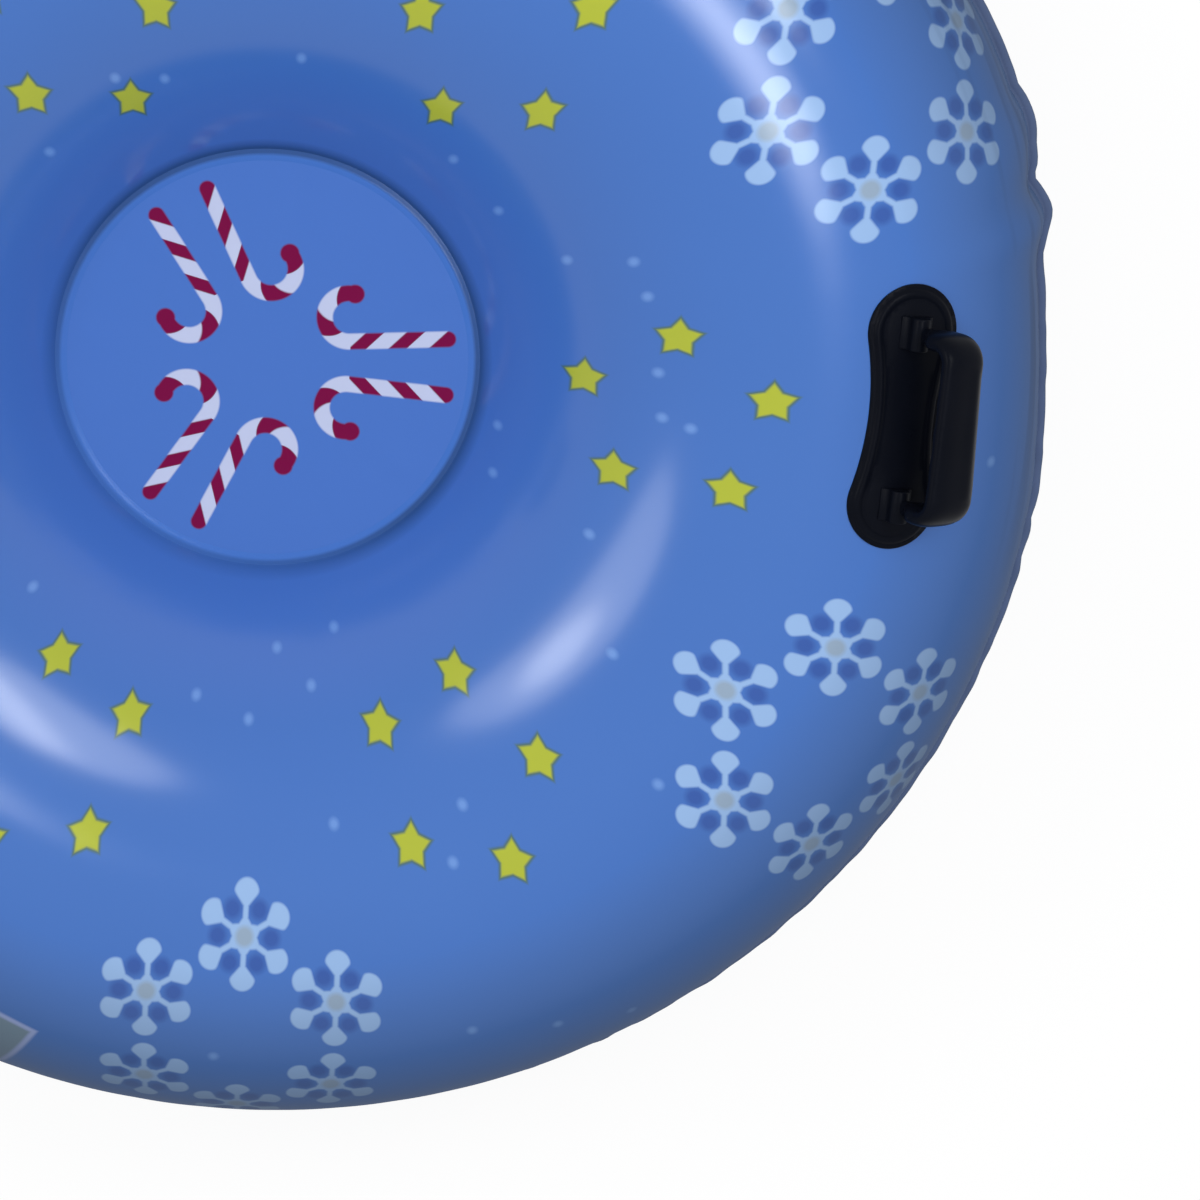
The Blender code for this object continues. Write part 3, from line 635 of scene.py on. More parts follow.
def dog_bone(waist_steps, lobe_steps):
    """Outline of a pad: two round lobes joined by hollow sides, each an arc."""
    waist = ((PAD_WAIST_HALF ** 2 + PAD_LOBE_OFFSET ** 2 - PAD_LOBE_RADIUS ** 2)
             / (2 * (PAD_LOBE_RADIUS - PAD_WAIST_HALF)))
    meet = math.atan2(PAD_LOBE_OFFSET, PAD_WAIST_HALF + waist)
    quarter = []
    for step in range(waist_steps + 1):
        turn = meet * step / waist_steps
        quarter.append((PAD_WAIST_HALF + waist - waist * math.cos(turn), waist * math.sin(turn)))
    for step in range(1, lobe_steps + 1):
        turn = -meet + (math.pi / 2 + meet) * step / lobe_steps
        quarter.append((PAD_LOBE_RADIUS * math.cos(turn), PAD_LOBE_OFFSET + PAD_LOBE_RADIUS * math.sin(turn)))
    half = quarter + [(-across, along) for across, along in quarter[-2::-1]]
    return half + [(-across, -along) for across, along in half[1:-1]]


def build_pad(name, place):
    """A moulded pad with a welded border, a rolled rim and a knuckle on each lobe."""
    piece = draw([(across, along, 0) for across, along in dog_bone(WAIST_STEPS, LOBE_STEPS)])
    bpy.ops.mesh.select_all(action="SELECT")
    bpy.ops.mesh.edge_face_add()
    bpy.ops.mesh.normals_make_consistent(inside=False)
    mesh = bmesh.from_edit_mesh(piece.data)
    if mesh.faces[:][0].normal.z < 0:
        bpy.ops.mesh.flip_normals()
    bpy.ops.mesh.extrude_region_move(TRANSFORM_OT_translate={"value": (0, 0, PAD_EDGE)})
    for width, lift in PAD_STEPS:
        bpy.ops.mesh.inset(thickness=width, depth=lift)
    face_outward()
    for count, way in PAD_CUTS:
        for index in range(-count, count + 1):
            bpy.ops.mesh.select_all(action="SELECT")
            bpy.ops.mesh.bisect(plane_co=Vector(way) * index * PAD_GRID, plane_no=way)
    pad = leave(name)
    places = corners_of(pad)
    for side in (-1, 1):
        away = numpy.hypot(places[:, 0], places[:, 1] - side * PAD_LOBE_OFFSET)
        dome = numpy.clip(1 - (away / PAD_DOME_RADIUS) ** 2, 0, 1)
        places[:, 2] += numpy.where(places[:, 2] > PAD_TOP, PAD_DOME * dome, 0)
    lift = numpy.where(places[:, 2] > 0, CLEARANCE, 0)
    places[:, 2] += lift - sag_under(place, places[:, 0], places[:, 1]) - (CLEARANCE - lift)
    set_corners(pad, places)
    for side in (-1, 1):
        combine(pad, build_knuckle(side * KNUCKLE_OFFSET))
    pad.data.transform(place)
    smooth(pad, 42)
    return pad


def build_knuckle(along):
    """Rounded ridge that a foot of the grip rocks on."""
    turns = [math.pi * step / KNUCKLE_STEPS for step in range(KNUCKLE_STEPS + 1)]
    points = [(-KNUCKLE_RADIUS * math.cos(turn), KNUCKLE_AXIS + KNUCKLE_RADIUS * math.sin(turn))
              for turn in turns]
    points += list(KNUCKLE_SIDE) + [(-across, up) for across, up in KNUCKLE_SIDE[::-1]]
    outline = [(across, along - KNUCKLE_LENGTH / 2, up) for across, up in points]
    pull_outline(outline, (0, KNUCKLE_LENGTH, 0))
    knuckle = leave("knuckle")
    use(knuckle, "BEVEL", width=KNUCKLE_EASE, segments=4, limit_method="ANGLE", angle_limit=EASED_ANGLE)
    return knuckle


def grip_path():
    """Centre line of the arched grip from foot to foot: place along it, height and turn."""
    reach = KNUCKLE_OFFSET - GRIP_CORNER
    rise = GRIP_RISE - GRIP_CORNER
    saddle = KNUCKLE_RADIUS + CLEARANCE
    foot_steps, corner_steps, bar_steps = GRIP_STEPS
    path = []
    for step in range(foot_steps):
        path.append((-KNUCKLE_OFFSET, saddle + (rise - saddle) * step / foot_steps, 0.0))
    for step in range(corner_steps):
        turn = math.pi / 2 * step / corner_steps
        path.append((-reach - GRIP_CORNER * math.cos(turn), rise + GRIP_CORNER * math.sin(turn), turn))
    for step in range(bar_steps + 1):
        path.append((-reach + reach * step / bar_steps, GRIP_RISE, math.pi / 2))
    return path + [(-along, height, math.pi - turn) for along, height, turn in path[-2::-1]]


def grip_section(height):
    """Half width and half depth of the grip: narrow feet that flare into a broad bar."""
    share = min(1.0, max(0.0, (height - KNUCKLE_RADIUS - CLEARANCE) / GRIP_FLARE))
    flare = share * share * (3 - 2 * share)
    width = GRIP_FOOT_WIDTH + (GRIP_HALF_WIDTH - GRIP_FOOT_WIDTH) * flare
    depth = GRIP_FOOT_DEPTH + (GRIP_HALF_DEPTH - GRIP_FOOT_DEPTH) * flare
    return width, depth


def build_grip(name, place):
    """The arched grip: a bar drawn out straight, then laid along its arch."""
    path = grip_path()
    piece = start("circle", vertices=GRIP_SIDES, radius=1, fill_type="NGON")
    mesh = bmesh.from_edit_mesh(piece.data)
    power = 2 / GRIP_SQUARENESS
    for corner in mesh.verts:
        corner.co.x = math.copysign(abs(corner.co.x) ** power, corner.co.x)
        corner.co.y = math.copysign(abs(corner.co.y) ** power, corner.co.y)
    bmesh.update_edit_mesh(piece.data)
    bpy.ops.mesh.select_all(action="SELECT")
    for _ in path[1:]:
        bpy.ops.mesh.extrude_region_move(TRANSFORM_OT_translate={"value": (0, 0, 1)})
    face_outward()
    grip = leave(name)
    bar_half = KNUCKLE_OFFSET - GRIP_CORNER
    places = corners_of(grip)
    for index, (side, out, station) in enumerate(places.copy()):
        number = round(station)
        along, height, turn = path[number]
        width, depth = grip_section(height)
        in_bar = max(0.0, 1 - (along / bar_half) ** 2)
        groove = FINGER_GROOVE * in_bar * (1 - math.cos(math.pi * FINGER_COUNT * (along / bar_half + 1)))
        crest = math.exp(-((side - RIDGE_PLACE) / RIDGE_WIDTH) ** 2)
        ridge = RIDGE_HEIGHT * in_bar ** RIDGE_FADE * crest
        skew = min(1.0, max(0.0, (GRIP_SKEW_START - along) / (2 * GRIP_SKEW_START)))
        flared = (width - GRIP_FOOT_WIDTH) / (GRIP_HALF_WIDTH - GRIP_FOOT_WIDTH)
        across = width * side + GRIP_SKEW * skew * flared * (side + 1) / 2
        relief = -out * groove if out < 0 else ridge if out > 0 else 0.0
        outward = depth * out + relief
        up = height + outward * math.sin(turn)
        if number in (0, len(path) - 1):
            up = math.sqrt((KNUCKLE_RADIUS + CLEARANCE) ** 2 - across ** 2)
        places[index] = (across, along - outward * math.cos(turn), up)
    set_corners(grip, places)
    if sum(face.area * face.normal.dot(face.center - Vector((0, 0, GRIP_RISE / 2)))
           for face in grip.data.polygons) < 0:
        grip.data.flip_normals()
    grip.data.transform(place @ Matrix.Translation((0, 0, KNUCKLE_AXIS)) @ Matrix.Rotation(GRIP_LEAN, 4, "Y"))
    smooth(grip, 45)
    return grip


# Valve
VALVE_AZIMUTH = math.radians(107.0)
VALVE_HOLE = 0.0212
VALVE_SIDES = 96
NECK_RADIUS = 0.0200
NECK_WALL = 0.0022
NECK_DEPTH = 0.016
NECK_RISE = 0.0040
FLANGE_RADIUS = 0.032
FLANGE_THICKNESS = 0.0018
RIM_LEVEL = 0.0061
RIM_THICKNESS = 0.0026
RIM_SCALLOP = 0.0006
RIM_SCALLOPS = 12
SCALLOP_SIDES = 12
BARREL_DEPTH = 0.012
COLLAR_WALL = 0.0025
COLLAR_RISE = 0.0070
MOUTH_RADIUS = 0.0100
GRATE_THICKNESS = 0.0020
HUB_RADIUS = 0.0032
SPOKE_WIDTH = 0.0022
STEM_HOLE = 0.0015
CAP_WALL = 0.0020
CAP_TOP = 0.0020
TAB_WIDTH = 0.0080
TAB_LENGTH = 0.0060
TAB_THICKNESS = 0.0016
TAB_DROP = 0.0007
TAB_EASE = 0.0005
TETHER_WIDTH = 0.0050
TETHER_THICKNESS = 0.0012
TETHER_BOW = 0.0070
TETHER_EASE = 0.0003
TONGUE_STEPS = 28
# Roundings and small steps of the valve's sections
NECK_EASE = 0.0004
NECK_LIP = 0.0003
NECK_FILLET = ((0.0022, 0.0), (0.0008, 0.0004), (0.0, 0.0012))
FLANGE_SINK = 0.0004
FLANGE_EDGE = 0.0005
FLANGE_BROW = 0.0008
RIM_EASE = 0.0006
COLLAR_EASE = 0.0005
# The cap's crown: in from its radius and down from its top
CAP_CROWN = ((0.0032, 0.0002), (0.0028, 0.0), (0.0012, 0.0), (0.0004, 0.0003), (0.0, 0.0011))
SKIRT_EASE = 0.0003
HUB_SIDES = 48
STEM_SIDES = 32
# Fine rings on the flange
FLANGE_RINGS = 4
RING_LEVEL = 0.0010
RING_STEP = 0.0002
RING_INSET = 0.0022
RING_PITCH = 0.0019
RING_HALF = 0.0006
RING_RISE = 0.0003
CREST_LEVEL = EQUATOR + FOOT_RISE + float(rise_at(CREST))
VALVE = Vector((CREST * math.cos(VALVE_AZIMUTH), CREST * math.sin(VALVE_AZIMUTH), CREST_LEVEL))
VALVE_PLACE = Matrix.Translation(VALVE) @ Matrix.Rotation(VALVE_AZIMUTH, 4, "Z")
RIM_TOP = RIM_LEVEL + RIM_THICKNESS
COLLAR_RADIUS = MOUTH_RADIUS + COLLAR_WALL
COLLAR_TOP = RIM_TOP + COLLAR_RISE
CAP_RADIUS = COLLAR_RADIUS + CLEARANCE + CAP_WALL
CAP_UNDER = COLLAR_TOP + CLEARANCE
SKIRT_LEVEL = RIM_TOP + TETHER_THICKNESS + 2 * CLEARANCE
BARREL_RADIUS = NECK_RADIUS - NECK_WALL - CLEARANCE


def settle(piece):
    """Put a valve piece that was modelled upright at the origin in its place on the tube."""
    piece.data.transform(VALVE_PLACE)
    smooth(piece, 38)
    return piece


def build_valve_flange():
    """Welded flange with fine rings, and the neck that hangs inside the air chamber."""
    bore = NECK_RADIUS - NECK_WALL
    top = CLEARANCE + FLANGE_THICKNESS
    outline = [(bore, -NECK_DEPTH), (NECK_RADIUS - NECK_EASE, -NECK_DEPTH),
               (NECK_RADIUS, -NECK_DEPTH + NECK_EASE), (NECK_RADIUS, -FLANGE_SINK),
               (FLANGE_RADIUS, -FLANGE_SINK), (FLANGE_RADIUS, CLEARANCE + FLANGE_EDGE),
               (FLANGE_RADIUS - FLANGE_EDGE, CLEARANCE + FLANGE_BROW)]
    for ring in range(FLANGE_RINGS):
        radius = FLANGE_RADIUS - RING_INSET - RING_PITCH * ring
        level = CLEARANCE + RING_LEVEL + RING_STEP * ring
        outline += [(radius + RING_HALF, level), (radius, level + RING_RISE), (radius - RING_HALF, level)]
    outline += [(NECK_RADIUS + out, top + rise) for out, rise in NECK_FILLET]
    outline += [(NECK_RADIUS, NECK_RISE - NECK_LIP), (NECK_RADIUS - NECK_LIP, NECK_RISE), (bore, NECK_RISE)]
    spin(outline, VALVE_SIDES, closed=True)
    piece = leave("valve_flange")
    places = corners_of(piece)
    flange = numpy.hypot(places[:, 0], places[:, 1]) > NECK_RADIUS + CLEARANCE
    sag = sag_under(Matrix(VALVE_PLACE), places[:, 0], places[:, 1])
    places[:, 2] -= numpy.where(flange, sag, 0)
    set_corners(piece, places)
    return settle(piece)


def build_valve_body():
    """Screw-in body: scalloped rim, mouth collar and a spoked grate."""
    rim = NECK_RADIUS + RIM_SCALLOP
    outline = [(MOUTH_RADIUS, -BARREL_DEPTH), (BARREL_RADIUS, -BARREL_DEPTH), (BARREL_RADIUS, RIM_LEVEL),
               (rim - NECK_EASE, RIM_LEVEL), (rim, RIM_LEVEL + NECK_EASE), (rim, RIM_TOP - RIM_EASE),
               (rim - RIM_EASE, RIM_TOP), (COLLAR_RADIUS + RIM_EASE, RIM_TOP),
               (COLLAR_RADIUS, RIM_TOP + RIM_EASE), (COLLAR_RADIUS, COLLAR_TOP - COLLAR_EASE),
               (COLLAR_RADIUS - COLLAR_EASE, COLLAR_TOP), (MOUTH_RADIUS + NECK_EASE, COLLAR_TOP),
               (MOUTH_RADIUS, COLLAR_TOP - NECK_EASE)]
    spin(outline, RIM_SCALLOPS * SCALLOP_SIDES, closed=True)
    piece = leave("valve_body")
    places = corners_of(piece)
    away, azimuth = plan_of(places)
    scallop = RIM_SCALLOP * numpy.cos(RIM_SCALLOPS * azimuth)
    out = numpy.where(away > BARREL_RADIUS + RIM_SCALLOP, 1 + scallop / away, 1)
    places[:, :2] *= out[:, None]
    set_corners(piece, places)
    centre = (0, 0, GRATE_THICKNESS / 2 - BARREL_DEPTH)
    for turn in (0, math.pi / 2):
        start_block(centre, (2 * MOUTH_RADIUS + COLLAR_WALL, SPOKE_WIDTH, GRATE_THICKNESS))
        bpy.ops.transform.rotate(value=turn, orient_axis="Z", center_override=centre)
        combine(piece, leave("spoke"))
    start("cylinder", vertices=HUB_SIDES, radius=HUB_RADIUS, depth=GRATE_THICKNESS, location=centre)
    combine(piece, leave("hub"))
    start("cylinder", vertices=STEM_SIDES, radius=STEM_HOLE, depth=3 * GRATE_THICKNESS, location=centre)
    combine(piece, leave("stem_hole"), "DIFFERENCE")
    return settle(piece)


def build_valve_plug():
    """Push-on cap with a rounded crown and a lifting tab."""
    inner = COLLAR_RADIUS + CLEARANCE
    top = CAP_UNDER + CAP_TOP
    outline = [(0, top - CAP_CROWN[0][1])]
    outline += [(CAP_RADIUS - inward, top - down) for inward, down in CAP_CROWN]
    outline += [(CAP_RADIUS, SKIRT_LEVEL + SKIRT_EASE), (CAP_RADIUS - SKIRT_EASE, SKIRT_LEVEL),
                (inner, SKIRT_LEVEL), (inner, CAP_UNDER), (0, CAP_UNDER)]
    spin(outline, VALVE_SIDES)
    piece = leave("valve_plug")
    length = TAB_LENGTH + CAP_WALL / 2
    centre = (CAP_RADIUS - CAP_WALL / 2 + length / 2, 0, top - TAB_DROP - TAB_THICKNESS / 2)
    start_block(centre, (length, TAB_WIDTH, TAB_THICKNESS))
    tab = leave("tab")
    use(tab, "BEVEL", width=TAB_EASE, segments=3, limit_method="ANGLE", angle_limit=EASED_ANGLE)
    combine(piece, tab)
    return settle(piece)


def build_valve_strap():
    """Strap that keeps the cap: a ring round the collar's foot and a bowed tongue beside the cap."""
    inner = COLLAR_RADIUS + CLEARANCE
    outer = CAP_RADIUS + TETHER_THICKNESS
    low = RIM_TOP + CLEARANCE
    high = low + TETHER_THICKNESS
    outline = [(inner, low), (outer - TETHER_EASE, low), (outer, low + TETHER_EASE),
               (outer, high - TETHER_EASE), (outer - TETHER_EASE, high), (inner, high)]
    spin(outline, VALVE_SIDES, closed=True)
    piece = leave("valve_strap")
    half = TETHER_THICKNESS / 2
    finish_level = CAP_UNDER + CAP_TOP - TETHER_THICKNESS
    upper = []
    lower = []
    for step in range(TONGUE_STEPS + 1):
        share = step / TONGUE_STEPS
        turn = math.pi * share
        rise = (finish_level - low - half) * (1 - math.cos(turn)) / 2
        slope = math.atan2((finish_level - low) * math.sin(turn) / 2, TETHER_BOW * math.cos(turn))
        across = TETHER_THICKNESS - outer - TETHER_BOW * math.sin(turn) - CLEARANCE * share
        level = low + half + rise
        upper.append((across + half * math.sin(slope), -TETHER_WIDTH / 2, level + half * math.cos(slope)))
        lower.append((across - half * math.sin(slope), -TETHER_WIDTH / 2, level - half * math.cos(slope)))
    pull_outline(upper + lower[::-1], (0, TETHER_WIDTH, 0))
    combine(piece, leave("tongue"))
    return settle(piece)


# Materials

class Wire:
    """A value in a material's node tree. Arithmetic on it adds Math nodes."""

    def __init__(self, tree, socket=None):
        self.tree = tree
        self.socket = socket

    def node(self, kind, settings=None, sockets=None, output=0):
        """Add a node: its settings first, then the values or links of its sockets."""
        made = self.tree.nodes.new(kind)
        for name, value in (settings or {}).items():
            setattr(made, name, value)
        for name, value in (sockets or {}).items():
            if isinstance(value, Wire):
                self.tree.links.new(value.socket, made.inputs[name])
            else:
                made.inputs[name].default_value = value
        return Wire(self.tree, made.outputs[output])

    def math(self, operation, *values, clamp=False):
        """A Math node on these values."""
        settings = {"operation": operation, "use_clamp": clamp}
        return self.node("ShaderNodeMath", settings, dict(enumerate(values)))

    def vector(self, operation, *values, output=0):
        """A Vector Math node on these values."""
        return self.node("ShaderNodeVectorMath", {"operation": operation}, dict(enumerate(values)), output)

    def __add__(self, other):
        return self.math("ADD", self, other)

    def __radd__(self, other):
        return self.math("ADD", other, self)

    def __sub__(self, other):
        return self.math("SUBTRACT", self, other)

    def __rsub__(self, other):
        return self.math("SUBTRACT", other, self)

    def __mul__(self, other):
        return self.math("MULTIPLY", self, other)

    def __rmul__(self, other):
        return self.math("MULTIPLY", other, self)

    def __truediv__(self, other):
        return self.math("DIVIDE", self, other)

    def __neg__(self):
        return self.math("MULTIPLY", self, -1)

    def both(self, other):
        """The greater of two values; of distances, inside both shapes."""
        return self.math("MAXIMUM", self, other)

    def either(self, other):
        """The lesser of two values; of distances, inside one shape or the other."""
        return self.math("MINIMUM", self, other)

    def ramp(self, start, full):
        """0 at the start and beyond it, rising to 1 at the full value, whichever is greater."""
        pace = 1 / (full - start)
        return self.math("MULTIPLY_ADD", self, pace, -start * pace, clamp=True)

    def cover(self, blur):
        """A mask from a distance: 1 inside the shape and 0 outside, over a soft edge."""
        return self.math("MULTIPLY_ADD", self, -1 / blur, 0.5, clamp=True)

    def mixed(self, other, mask):
        """This colour where the mask is 0, and the other, a wire or a plain colour, where it is 1."""
        sockets = {0: mask, 6: self, 7: other}
        return self.node("ShaderNodeMix", {"data_type": "RGBA"}, sockets, output=2)


# Soft edge of the ink, gloss of the sheet, and how painted shade darkens the colour and the gloss fades on
# the outer slope
INK_BLUR = 0.0013
SHEET_COAT = 1.0
SEAT_COAT = 0.40
INKED_COAT = 0.06
GLOSS_START = 0.05
GLOSS_FULL = 0.42
GLOSS_LOSS = 0.93
EDGE_START = 0.10
EDGE_FULL = 0.85
EDGE_PACE = 0.70
EDGE_DIMMING = 0.80
BROW_START = 0.320
BROW_FULL = 0.400
# Plan radii over which a painted reflection pales the sheet into the recess, and over which the seat's crease
# gets painted shade
RECESS_START = 0.215
RECESS_FULL = 0.165
SHADE_START = 0.1296
SHADE_FULL = 0.1318
SHADE_EASE = 0.1352
SHADE_END = 0.1420
SHADE_WEAK_WAY = math.radians(-135.0)
SHADE_WEAKENING = 0.65
# Soft creases along the rim above the right handle, with painted shade on their dark sides
CREASE_WAVES = 60.0
CREASE_RUN = 1.6
CREASE_RIM = (0.452, 0.484)
CREASE_MIDDLE = math.radians(20.0)
CREASE_SPAN = (math.radians(36.0), math.radians(16.0))
CREASE_HEIGHT = 22.0
CREASE_DARK = (0.50, 0.64)
CREASE_SHADING = 0.5
SPECK_BLUR = 0.0035
SPECK_STRENGTH = 0.75

# Noise over the sheet, in waves to the metre
FINE_GRAIN = 900.0
PEEL_GRAIN = 160.0
SLOW_WAVE = 9.0
MARK_GRAIN = 60.0
MARK_STRETCH = (1.0, 5.0, 2.0)
MARK_LEVEL = 0.66
SHEET_ROUGHNESS = 0.20
INKED_ROUGHNESS = 0.05
SHEET_GRAIN = 0.00006
UNDER_GRAIN = 0.00020
COLOUR_WAVE = 4.0
SHEET_COAT_ROUGHNESS = 0.16
# Noise and gloss of the welds, the handles and the valve
WELD_WAVE = 30.0
WELD_GRAIN = 400.0
WELD_ROUGHNESS = 0.34
WELD_COAT_ROUGHNESS = 0.20
WELD_RELIEF = 0.00004
OUTER_RIBS = 1500.0
INNER_RIBS = 400.0
HANDLE_GRAIN = 1500.0
HANDLE_WAVE = 40.0
HANDLE_ROUGHNESS = 0.24
HANDLE_SHINE = 0.035
HANDLE_RELIEF = 0.00005
MOULDED_GRAIN = 1200.0
MOULDED_WAVE = 55.0
MOULDED_SHINE = 0.45
MOULDED_RELIEF = 0.00006
UNEVEN_GLOSS = 0.12
INNER_WELD_GLOSS = 0.30
VALVE_ROUGHNESS = 0.30
SEAL_ROUGHNESS = 0.55


def new_finish(name):
    """A material with its shader; the wire starts expressions in its tree."""
    finish = bpy.data.materials.new(name)
    finish.use_nodes = True
    return finish, finish.node_tree.nodes["Principled BSDF"], Wire(finish.node_tree)


def feed(wire, shader, **sockets):
    """Link wires to the shader's sockets, or set plain values on them."""
    for name, value in sockets.items():
        target = shader.inputs[name.replace("_", " ")]
        if isinstance(value, Wire):
            wire.tree.links.new(value.socket, target)
        else:
            target.default_value = value


def noise(wire, place, scale, detail=2.0, roughness=0.5):
    """Noise from 0 to 1 at so many waves to the metre."""
    sockets = {"Vector": place, "Scale": scale, "Detail": detail, "Roughness": roughness}
    return wire.node("ShaderNodeTexNoise", {}, sockets)


def colour(wire, value):
    """A plain colour as a wire."""
    made = wire.node("ShaderNodeRGB")
    made.socket.default_value = value
    return made


def bumped(wire, height, distance, strength=1.0):
    """A normal from a height."""
    return wire.node("ShaderNodeBump", {}, {"Height": height, "Distance": distance, "Strength": strength})


def object_place(wire):
    """Object coordinates, which are the shared frame's on every piece."""
    return wire.node("ShaderNodeTexCoord", output=3)


def reach_of(wire, across, up):
    """Length of the way across and up."""
    return wire.math("SQRT", across * across + up * up)


def split(wire, place):
    """X and Y of a vector wire."""
    made = wire.node("ShaderNodeSeparateXYZ", {}, {0: place})
    return made, Wire(wire.tree, made.socket.node.outputs[1])


def nearest(wire, place, centres):
    """The way from the nearest of some centres to a place, as a vector."""
    best_way = None
    best_length = None
    for across, up in centres:
        way = wire.vector("SUBTRACT", place, (across, up, 0))
        length = wire.vector("LENGTH", way, output=1)
        if best_way is None:
            best_way = way
            best_length = length
            continue
        closer = wire.math("LESS_THAN", length, best_length)
        sockets = {0: closer, 4: best_way, 5: way}
        best_way = wire.node("ShaderNodeMix", {"data_type": "VECTOR"}, sockets, output=1)
        best_length = best_length.either(length)
    return best_way


def folded(wire, across, up, count, ahead=0.0):
    """Fold a place into half of one of count sectors: how far out along its middle, and how far beside it."""
    reach = reach_of(wire, across, up)
    turn = wire.math("PINGPONG", wire.math("ARCTAN2", across, up) + ahead, math.pi / count)
    return reach * wire.math("COSINE", turn), reach * wire.math("SINE", turn)


def spike(wire, along, beside, tip, waist, half_turn):
    """Distance outside the straight edge from a star's tip to its waist."""
    way = Vector((waist * math.cos(half_turn) - tip, waist * math.sin(half_turn)))
    out = Vector((way.y, -way.x)).normalized()
    return (along - tip) * out.x + beside * out.y


def star_distance(wire, flat):
    """Distance outside the nearest star of the print."""
    across, up = split(wire, nearest(wire, flat, STAR_GROUPS))
    along, beside = folded(wire, across, up, 5)
    along, beside = folded(wire, beside, along - STAR_CIRCLE, 5)
    return spike(wire, along, beside, STAR_RADIUS, STAR_RADIUS * STAR_WAIST_SHARE, math.pi / 5)


def flake_distance(wire, flat):
    """Distances outside the nearest snowflake of the print, from its middle, and outside its dark blots."""
    across, up = split(wire, nearest(wire, flat, FLAKE_GROUPS))
    along, beside = folded(wire, across, up, 6, FLAKE_GROUP_TURN)
    along, beside = folded(wire, beside, along - FLAKE_CIRCLE, 6)
    arm = (beside - FLAKE_ARM_HALF).both(along - FLAKE_RADIUS)
    wedge = beside * math.cos(FLAKE_FAN_HALF) - (along - FLAKE_FAN_START) * math.sin(FLAKE_FAN_HALF)
    beyond = along - FLAKE_FAN_MIDDLE
    round_end = reach_of(wire, beyond, beside) - FLAKE_FAN_RADIUS
    fan = wire.math("SMOOTH_MAX", wedge, round_end, FLAKE_FAN_SOFT)
    hub = spike(wire, along, beside, FLAKE_HUB_TIP, FLAKE_HUB_WAIST, math.pi / 6)
    middle = reach_of(wire, along, beside)
    out = along - BLOT_REACH * math.cos(math.pi / 6)
    off = beside - BLOT_REACH * math.sin(math.pi / 6)
    blot = reach_of(wire, out, off) - BLOT_RADIUS
    return arm.either(fan).either(hub), middle, blot


def speck_distance(wire, flat):
    """Distance outside the nearest snow speck of the print."""
    least = None
    for across, up in SPECKS:
        length = wire.vector("DISTANCE", flat, (across, up, 0), output=1)
        least = length if least is None else least.either(length)
    return least - SPECK_RADIUS


def label_distance(wire, flat):
    """Distance outside the bare printed label."""
    outward = (math.cos(LABEL_AZIMUTH), math.sin(LABEL_AZIMUTH), 0)
    sideways = (-outward[1], outward[0], 0)
    along = wire.vector("DOT_PRODUCT", flat, outward, output=1) - (LABEL_INNER + LABEL_OUTER) / 2
    beside = wire.vector("DOT_PRODUCT", flat, sideways, output=1)
    inside = wire.math("ABSOLUTE", along) - (LABEL_OUTER - LABEL_INNER) / 2
    return inside.both(wire.math("ABSOLUTE", beside) - LABEL_HALF_WIDTH)


def plan_reach(wire, place):
    """Distance of a place from the tube's axis."""
    return wire.vector("LENGTH", wire.vector("MULTIPLY", place, (1, 1, 0)), output=1)


def lean_share(wire, start, full):
    """How far the tube's outer slope leans from the eye: 0 up to the start, then rising to 1."""
    facing = wire.node("ShaderNodeLayerWeight", {}, {"Blend": 0.5}, output=1)
    place = object_place(wire)
    return facing.ramp(start, full) * plan_reach(wire, place).ramp(BROW_START, BROW_FULL)


def seam_shaded(wire, place, printed):
    """Painted shade in the crease round the seat, weakest at the near left."""
    reach = plan_reach(wire, place)
    across, up = split(wire, place)
    ring = reach.ramp(SHADE_START, SHADE_FULL) * reach.ramp(SHADE_END, SHADE_EASE)
    toward = (across * math.cos(SHADE_WEAK_WAY) + up * math.sin(SHADE_WEAK_WAY)) / reach
    strength = 1 - wire.math("MAXIMUM", toward, 0) * SHADE_WEAKENING
    return printed.mixed(SEAM_SHADE, ring * strength)


def rim_creases(wire, place):
    """Soft creases along the rim above the right handle: their height, and a mask of painted shade on their
    dark sides.
    """
    across, up = split(wire, place)
    level = Wire(wire.tree, across.socket.node.outputs[2])
    reach = plan_reach(wire, place)
    turn = wire.math("ARCTAN2", up, across)
    sockets = {0: reach * CREASE_WAVES, 1: level * CREASE_WAVES, 2: turn * CREASE_RUN}
    beat = wire.node("ShaderNodeCombineXYZ", {}, sockets)
    folds = noise(wire, beat, 1.0, 1.0)
    sector = wire.math("ABSOLUTE", turn - CREASE_MIDDLE).ramp(*CREASE_SPAN)
    mask = reach.ramp(*CREASE_RIM) * sector
    return folds * mask, folds.ramp(*CREASE_DARK) * mask


def painted_edge_shade(wire, printed):
    """Painted shade: the sheet's colour darkens where it turns away from the eye, as a shaded rim would."""
    share = wire.math("POWER", lean_share(wire, EDGE_START, EDGE_FULL), EDGE_PACE)
    return printed.mixed(EDGE_SHADE_BLUE, share * EDGE_DIMMING)


def lean_gloss(wire, gloss):
    """The sheet's gloss, which fades where it leans from the eye."""
    return (1 - lean_share(wire, GLOSS_START, GLOSS_FULL) * GLOSS_LOSS) * gloss


